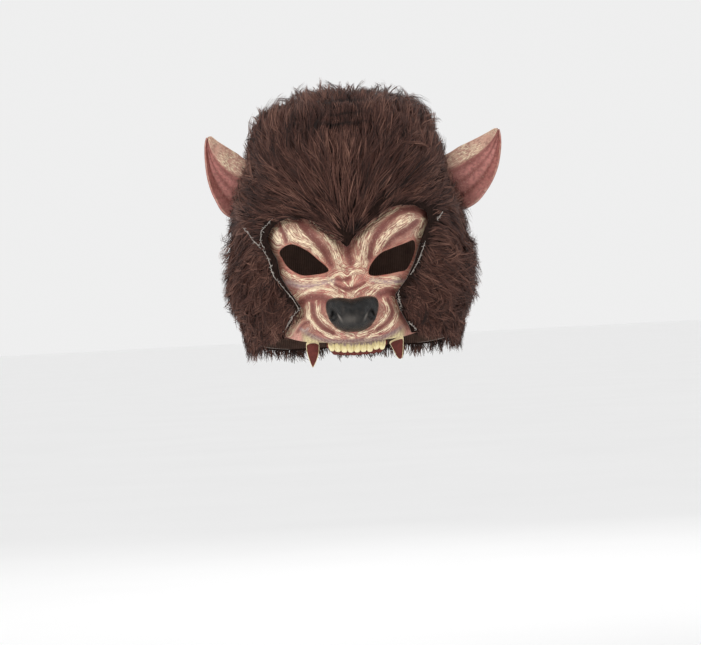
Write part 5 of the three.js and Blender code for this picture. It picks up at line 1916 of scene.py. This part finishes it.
FANG_ROWS = {
    Side.LEFT: (
        FangRow(177.0, -32.8, -29.4),
        FangRow(178.0, -35.2, -27.0),
        FangRow(180.0, -36.0, -26.3),
        FangRow(184.4, -35.9, -26.4),
        FangRow(189.0, -35.0, -27.4),
        FangRow(193.7, -33.6, -29.4),
        FangRow(196.0, -32.8, -30.7),
        FangRow(197.3, -32.2, -31.5),
    ),
    Side.RIGHT: (
        FangRow(176.8, 35.4, 36.8),
        FangRow(178.6, 31.5, 37.2),
        FangRow(181.2, 26.6, 37.1),
        FangRow(184.5, 27.8, 36.9),
        FangRow(188.0, 29.4, 36.6),
        FangRow(191.5, 31.0, 36.1),
        FangRow(193.4, 32.2, 35.5),
        FangRow(194.2, 33.2, 34.8),
    ),
}

# How far down the cream gum reaches over each fang, at its left and its right edge.
FANG_CAPS = {Side.LEFT: (178.8, 178.8), Side.RIGHT: (181.3, 177.9)}


@dataclass
class Fang:
    """One fang: a shield of rust latex dished inside a thin cream rim.

    Attributes:
        face: The face that it hangs from.
        side: Which side it is on.
        thick: Its thickness.
        dish: How deep its front is dished.
        rows: Rings of its mesh.
        round: Points of a ring.
    """

    face: FaceShell
    side: Side
    thick: float = 3.4
    dish: float = 1.1
    rows: int = 40
    round: int = 36

    def build(self) -> bpy.types.Object:
        """Makes and dresses the fang."""
        table = FANG_ROWS[self.side]
        place = np.linspace(0, len(table) - 1, self.rows)[:, None]
        down, left, right = (column([row[i] for row in table], place) for i in range(3))
        turn = round_turn(self.round)[None, :]
        lateral = np.sign(np.cos(turn)) * np.abs(np.cos(turn)) ** 0.7
        forward = np.sin(turn)
        share = (down - down[0]) / (down[-1] - down[0])
        half = (right - left) / 2
        x = (left + right) / 2 + lateral * half
        widest = table[2]
        ends, level = np.array([widest.left, widest.right]), np.full(2, -widest.down)
        y0 = self.face.surface(ends, level, detail=False).max() + 0.6
        rim = np.clip((1 - np.abs(lateral)) * half / 1.1, 0, 1) * np.clip(share / 0.04, 0, 1)
        dished = np.where(forward < 0, self.dish * ease(rim), 0.0) * np.clip((1 - share) / 0.2, 0, 1)
        y = y0 + 1.2 * share + forward * 0.5 * self.thick * np.sqrt(half / half.max()) + dished
        label = self.side.name.lower()
        fang = loft(np.stack([x, y, -down * np.ones_like(x)], axis=-1), f"fang_{label}_shield")
        edge = (1 - ease(rim * np.ones_like(x) * 1.25)) * np.where(forward < 0.2, 1.0, 0.5)
        gum = mix(*FANG_CAPS[self.side], (x - left) / (right - left)) + 1.9 * np.abs(lateral) ** 3
        edge = np.maximum(edge, 1 - ease((down - gum) / 0.7))
        set_value(fang, "level", np.concatenate([edge.ravel(), [1.0, 1.0]]))
        return dress(fang, RustFinish(f"fang_rust_{label}").build(), "fang_rust", f"fang_{label}")


@dataclass(frozen=True)
class EarCoat:
    """The colours of an ear: bowl, darker patches, painted shade in the folds and under the band, rolled
    band, painted shade at the root, and back.
    """

    bowl: Tone = (212, 144, 136)
    patch: Tone = (170, 104, 94)
    fold_shade: Tone = (122, 66, 58)
    band: Tone = (204, 156, 138)
    root: Tone = (96, 62, 52)
    rear: Tone = (172, 122, 110)


@dataclass
class Ear:
    """One latex ear: a dished leaf with a band rolled forward along its top edge.

    Attributes:
        head: The form that it stands on.
        side: Which side it is on.
        bowl: How deep its bowl is dished.
        roll: How far its band rolls forward.
        wall: Its thickness.
        along: Rows of its mesh from root to tip.
        stops: Points across a row.
        colours: What it is painted with.
    """

    head: HeadForm
    side: Side
    bowl: float = 9.0
    roll: float = 6.0
    wall: float = 2.2
    along: int = 64
    stops: int = 72
    colours: EarCoat = EarCoat()

    def shape(self, place: Array, stop: Array) -> Array:
        """Points of the ear's front.

        Args:
            place: Where each lies between root and tip, counted in sections.
            stop: Where it lies from the outer edge, 0, over the bowl to the band, 1, and its top, 2.

        Returns:
            The points.
        """
        rows = EAR_ROWS[self.side]
        values = [column([float(row[i]) for row in rows], place) for i in range(6)]
        top_out, top_down, edge_out, edge_down, back, roll = values
        narrow = 1 - 0.75 * ease(place / (len(rows) - 1))
        share = np.where(stop < 1, stop * (1 - roll), 1 - roll + (stop - 1) * roll)
        near_tip = np.clip((place / (len(rows) - 1) - 0.93) / 0.07, 0, 1)
        share = mix(0.5, share, np.sqrt(np.clip(1 - near_tip**2, 0.04, 1)))
        dish = np.where(stop < 1, np.sin(math.pi * np.clip(stop, 0, 1)) * self.bowl, 0.0)
        dish = dish + 1.1 * bell(stop - 0.34, 0.08) + 0.9 * bell(stop - 0.66, 0.08)
        band = np.clip(stop - 1, 0, 1)
        rolled = np.cos(band * math.pi / 2) * self.roll * ease(band / 0.16)
        flat = np.stack([place.ravel() * 6, stop.ravel() * 9], axis=1)
        x = self.side.value * mix(edge_out, top_out, share)
        y = back + (dish - rolled) * narrow - 3 * share
        y = y + 0.35 * ripple(flat, 5.0, 41).reshape(y.shape)
        return np.stack([x, y, -mix(edge_down, top_down, share)], axis=-1)

    def root_places(self, stop: Array) -> Array:
        """Where each line of the ear leaves the backing."""
        places = np.linspace(0, 2.5, 60)
        found = []
        for value in stop:
            line = self.shape(places, np.full(len(places), value))
            skin, normal = self.head.seat(line)
            clear = np.sum((line - skin) * normal, axis=1) > BACKING_WALL + AIR
            found.append(places[int(np.argmax(clear))])
        return np.array(found)

    def build(self) -> bpy.types.Object:
        """Makes and dresses the ear."""
        stop = np.linspace(0, 2, self.stops)
        root = self.root_places(stop)
        last = len(EAR_ROWS[self.side]) - 1
        share = np.linspace(0, 1, self.along)[:, None]
        place = mix(root[None, :], float(last), share)
        stops = stop[None, :] * np.ones_like(place)
        front = self.shape(place, stops)
        run = np.gradient(front, axis=0)
        rise = np.gradient(front, axis=1)
        normal = unit(np.cross(run, rise)) * self.side.value
        thin = mix(1.0, 0.45, (place / last) ** 2)[..., None]
        rear = front - normal * self.wall * thin
        label = self.side.name.lower()
        points = np.vstack([front.reshape(-1, 3), rear.reshape(-1, 3)])
        ear = new_object(f"latex_ear_{label}", points, sheet_faces(self.along, self.stops))
        ear.data.set_sharp_from_angle(angle=math.radians(70))
        self.paint(ear, place.ravel(), stops.ravel())
        latex = LatexFinish(f"ear_latex_{label}", streak=0.8).build()
        return dress(ear, latex, "ear_latex", f"ear_{label}")

    def paint(self, ear: bpy.types.Object, place: Array, stop: Array) -> None:
        """Stores the ear's coat, cream and brush direction, by place and stop of its front."""
        colours = self.colours
        plane = np.stack([place * 8, stop * 12], axis=1)
        band = ease((stop - 1.02) / 0.08)
        patch = (0.5 + 0.5 * ripple(plane, 9.0, 51)) * 0.5
        # Painted shade in the bowl's folds and under the rolled band.
        fold_shade = bell(stop - 0.34, 0.07) + bell(stop - 0.66, 0.07) + bell(stop - 0.95, 0.08)
        # Painted shade at the root, where the ear leaves the fur, front and back.
        root = ease((1.7 - place) / 1.3)
        coat = tinted(np.array(linear(*colours.bowl)), colours.patch, patch)
        coat = tinted(coat, colours.fold_shade, np.clip(0.6 * fold_shade, 0, 1))
        coat = tinted(coat, colours.band, band)
        coat = tinted(coat, colours.root, 0.7 * root)
        ridge = band * (0.5 + 0.3 * ripple(plane, 9.0, 52)) + 0.3 * bell(stop, 0.05)
        ridge = np.clip(ridge * (1 - 0.6 * root), 0, 1)
        grain = np.stack([place * 26, stop * 15, np.zeros(place.size)], axis=1)
        rear = tinted(np.array(linear(*colours.rear)), colours.root, 0.6 * root)
        set_value(ear, "coat", np.vstack([coat, rear]))
        set_value(ear, "ridge", np.concatenate([ridge, 0.25 * band]))
        set_value(ear, "grain", np.vstack([grain, grain]))


class Fray(NamedTuple):
    """A frayed cut edge: its height over the form and its line in X and Z."""

    height: float
    line: tuple[tuple[float, float], ...]


FRAYS = (
    Fray(9.0, ((-72.5, -88), (-68, -94), (-64.5, -99.5), (-60.5, -105.5))),
    Fray(6.4, (
        (-60.5, -105.5), (-57, -113), (-55, -123), (-51.8, -130), (-44, -141), (-39.8, -148.5),
        (-38, -152),
    )),
    Fray(4.8, ((-53.5, -83.5), (-58, -88), (-62, -93), (-62.5, -100.5), (-59.5, -108))),
    Fray(5.0, ((-38.5, -152), (-43, -158.5), (-52.5, -172))),
    Fray(6.6, ((67.5, -84.5), (64.5, -88), (61.8, -91.5))),
    Fray(5.0, ((54.5, -106), (50.5, -117), (46, -126), (42.5, -132))),
    Fray(4.6, ((35, -142.5), (33.2, -146), (34.6, -152), (36.4, -158))),
    Fray(4.6, ((39.5, -165.5), (42.5, -169.5), (46, -172.5))),
)


@dataclass
class CutEdge:
    """Pale threads of the backing, frayed along the cut edges of the cheek panels.

    Attributes:
        head: The form under them.
        thread: Half the thickness of a thread.
    """

    head: HeadForm
    thread: float = 0.16

    def tube(self, path: Array, name: str) -> bpy.types.Object:
        """A thin thread along a path."""
        run = unit(np.gradient(path, axis=0))
        side = unit(np.cross(run, np.array([0.2, 1.0, 0.1])))
        over = np.cross(run, side)
        taper = self.thread * np.sin(np.linspace(0.25, math.pi - 0.25, len(path)))[:, None]
        turns = [0.0, math.pi / 2, math.pi, 1.5 * math.pi]
        ways = [side * math.cos(turn) + over * math.sin(turn) for turn in turns]
        rings = np.stack([path + way * taper for way in ways], axis=1)
        return loft(rings, name)

    def raised(self, flat: Array, rng: np.random.Generator, height: float) -> Array:
        """A front-view path laid over the fur's edge, at a height over the form."""
        y = self.head.front_at(flat[:, 0], flat[:, 1])
        points = np.stack([flat[:, 0], y, flat[:, 1]], axis=1)
        skin, normal = self.head.seat(points)
        out = height + rng.uniform(-0.15, 0.25, len(flat))[:, None]
        return points + normal * out

    def build(self) -> bpy.types.Object:
        """Makes and dresses the threads."""
        rng = np.random.default_rng(SEED + 9)
        threads = []
        for height, line in FRAYS:
            smooth = smooth_line(line, 14)
            for start in range(0, len(smooth) - 8, 7):
                part = smooth[start : start + rng.integers(9, 16)]
                part = part + rng.normal(0, 0.12, part.shape) + rng.normal(0, 0.2, 2)
                threads.append(self.tube(self.raised(part, rng, height), "thread"))
            for _ in range(len(smooth) // 3):
                at = smooth[rng.integers(0, len(smooth))]
                way = unit(rng.normal(size=2) + [0.0, -0.3])
                reach = at + way * np.linspace(0, rng.uniform(0.6, 2.2), 4)[:, None]
                reach = reach + rng.normal(0, 0.1, (4, 2))
                threads.append(self.tube(self.raised(reach, rng, height), "thread"))
        piece = joined(threads, "cut_edge_threads")
        return dress(piece, KnitFinish("frayed_thread", (240, 232, 222), 900.0).build(), "knit_backing")


class Lamp(NamedTuple):
    """A soft square light: its name, place, power and side."""

    name: str
    place: tuple[float, float, float]
    power: float
    size: float


LAMPS = (
    Lamp("key", (-0.8, -1.5, 0.9), 9.0, 0.7),
    Lamp("fill", (1.2, -1.4, 0.2), 2.0, 1.2),
    Lamp("back", (0.2, 1.7, 0.9), 6.0, 1.2),
)


@dataclass
class Studio:
    """The pale floor, the soft lights and the camera, in metres.

    Attributes:
        distance: How far the camera stands in front of the origin.
        height: Its height.
        shift: How far it stands to the side.
        roll: How far it is turned, in degrees.
        lens: Its focal length, in millimetres.
        floor: Height of the floor.
        reach: Radii of the floor's rings.
        sky: Strength of the light from all round.
        middle: Height that the lights look at.
    """

    distance: float = 2.28
    height: float = -0.165
    shift: float = -0.0019
    roll: float = 3.0
    lens: float = 149.3
    floor: float = -0.5
    reach: tuple[float, ...] = (2.0, 9.0, 60.0)
    sky: float = 0.86
    middle: float = -0.09

    def ground(self) -> None:
        """The floor, a wide disc."""
        turn = round_turn(96)
        flat = np.stack([np.cos(turn), np.sin(turn), np.zeros(96)], axis=1)
        centre = np.array([[0.0, 0.0, self.floor / MM]])
        points = np.vstack([*[flat * radius / MM + centre for radius in self.reach], centre])
        sides = grid_faces(len(self.reach), 96, closed=True)[:, ::-1]
        disc = new_object("studio_floor", points, [sides, fan(np.arange(96), len(points) - 1)])
        disc.data.materials.append(StudioFinish().build())

    def light(self, lamp: Lamp) -> None:
        """Hangs one of the lights, turned to the mask."""
        data = bpy.data.lights.new(lamp.name, "AREA")
        data.energy = lamp.power
        data.size = lamp.size
        light = bpy.data.objects.new(lamp.name, data)
        light.location = lamp.place
        aim = Vector((0.0, 0.0, self.middle)) - Vector(lamp.place)
        light.rotation_mode = "QUATERNION"
        light.rotation_quaternion = aim.to_track_quat("-Z", "Y")
        bpy.context.scene.collection.objects.link(light)

    def camera(self) -> None:
        """The camera in front of the mask."""
        data = bpy.data.cameras.new("camera")
        data.lens = self.lens
        data.sensor_width = 36.0
        camera = bpy.data.objects.new("camera", data)
        turn = math.radians(self.roll)
        right = (math.cos(turn), 0.0, -math.sin(turn))
        up = (math.sin(turn), 0.0, math.cos(turn))
        place = (self.shift, -self.distance, self.height)
        rows = [(right[i], up[i], (0.0, -1.0, 0.0)[i], place[i]) for i in range(3)]
        camera.matrix_world = Matrix([*rows, (0.0, 0.0, 0.0, 1.0)])
        bpy.context.scene.collection.objects.link(camera)
        bpy.context.scene.camera = camera

    def build(self) -> None:
        """Sets the whole studio up."""
        scene = bpy.context.scene
        scene.view_settings.view_transform = "Standard"
        world = bpy.data.worlds.new("studio")
        world.use_nodes = True
        background = world.node_tree.nodes["Background"]
        background.inputs["Color"].default_value = (1.0, 1.0, 1.0, 1.0)
        background.inputs["Strength"].default_value = self.sky
        scene.world = world
        self.ground()
        for lamp in LAMPS:
            self.light(lamp)
        self.camera()


def report(pieces: Sequence[bpy.types.Object]) -> None:
    """Logs each piece and its triangles."""
    for piece in pieces:
        piece.data.calc_loop_triangles()
        LOG.info("%s: %d triangles", piece.name, len(piece.data.loop_triangles))


def main() -> None:
    """Builds the mask and the studio."""
    logging.basicConfig(level=logging.INFO, format="%(message)s")
    Studio().build()
    head = HeadForm()
    hood = HoodBacking(head)
    report([hood.build()])
    report(Fur(head, hood).build())
    face = FaceShell(head)
    report([face.build(), NosePad(face).build()])
    report(ToothRow(face).build())
    report([Fang(face, side).build() for side in Side])
    report([Ear(head, side).build() for side in Side])
    report([CutEdge(head).build()])


if __name__ == "__main__":
    main()
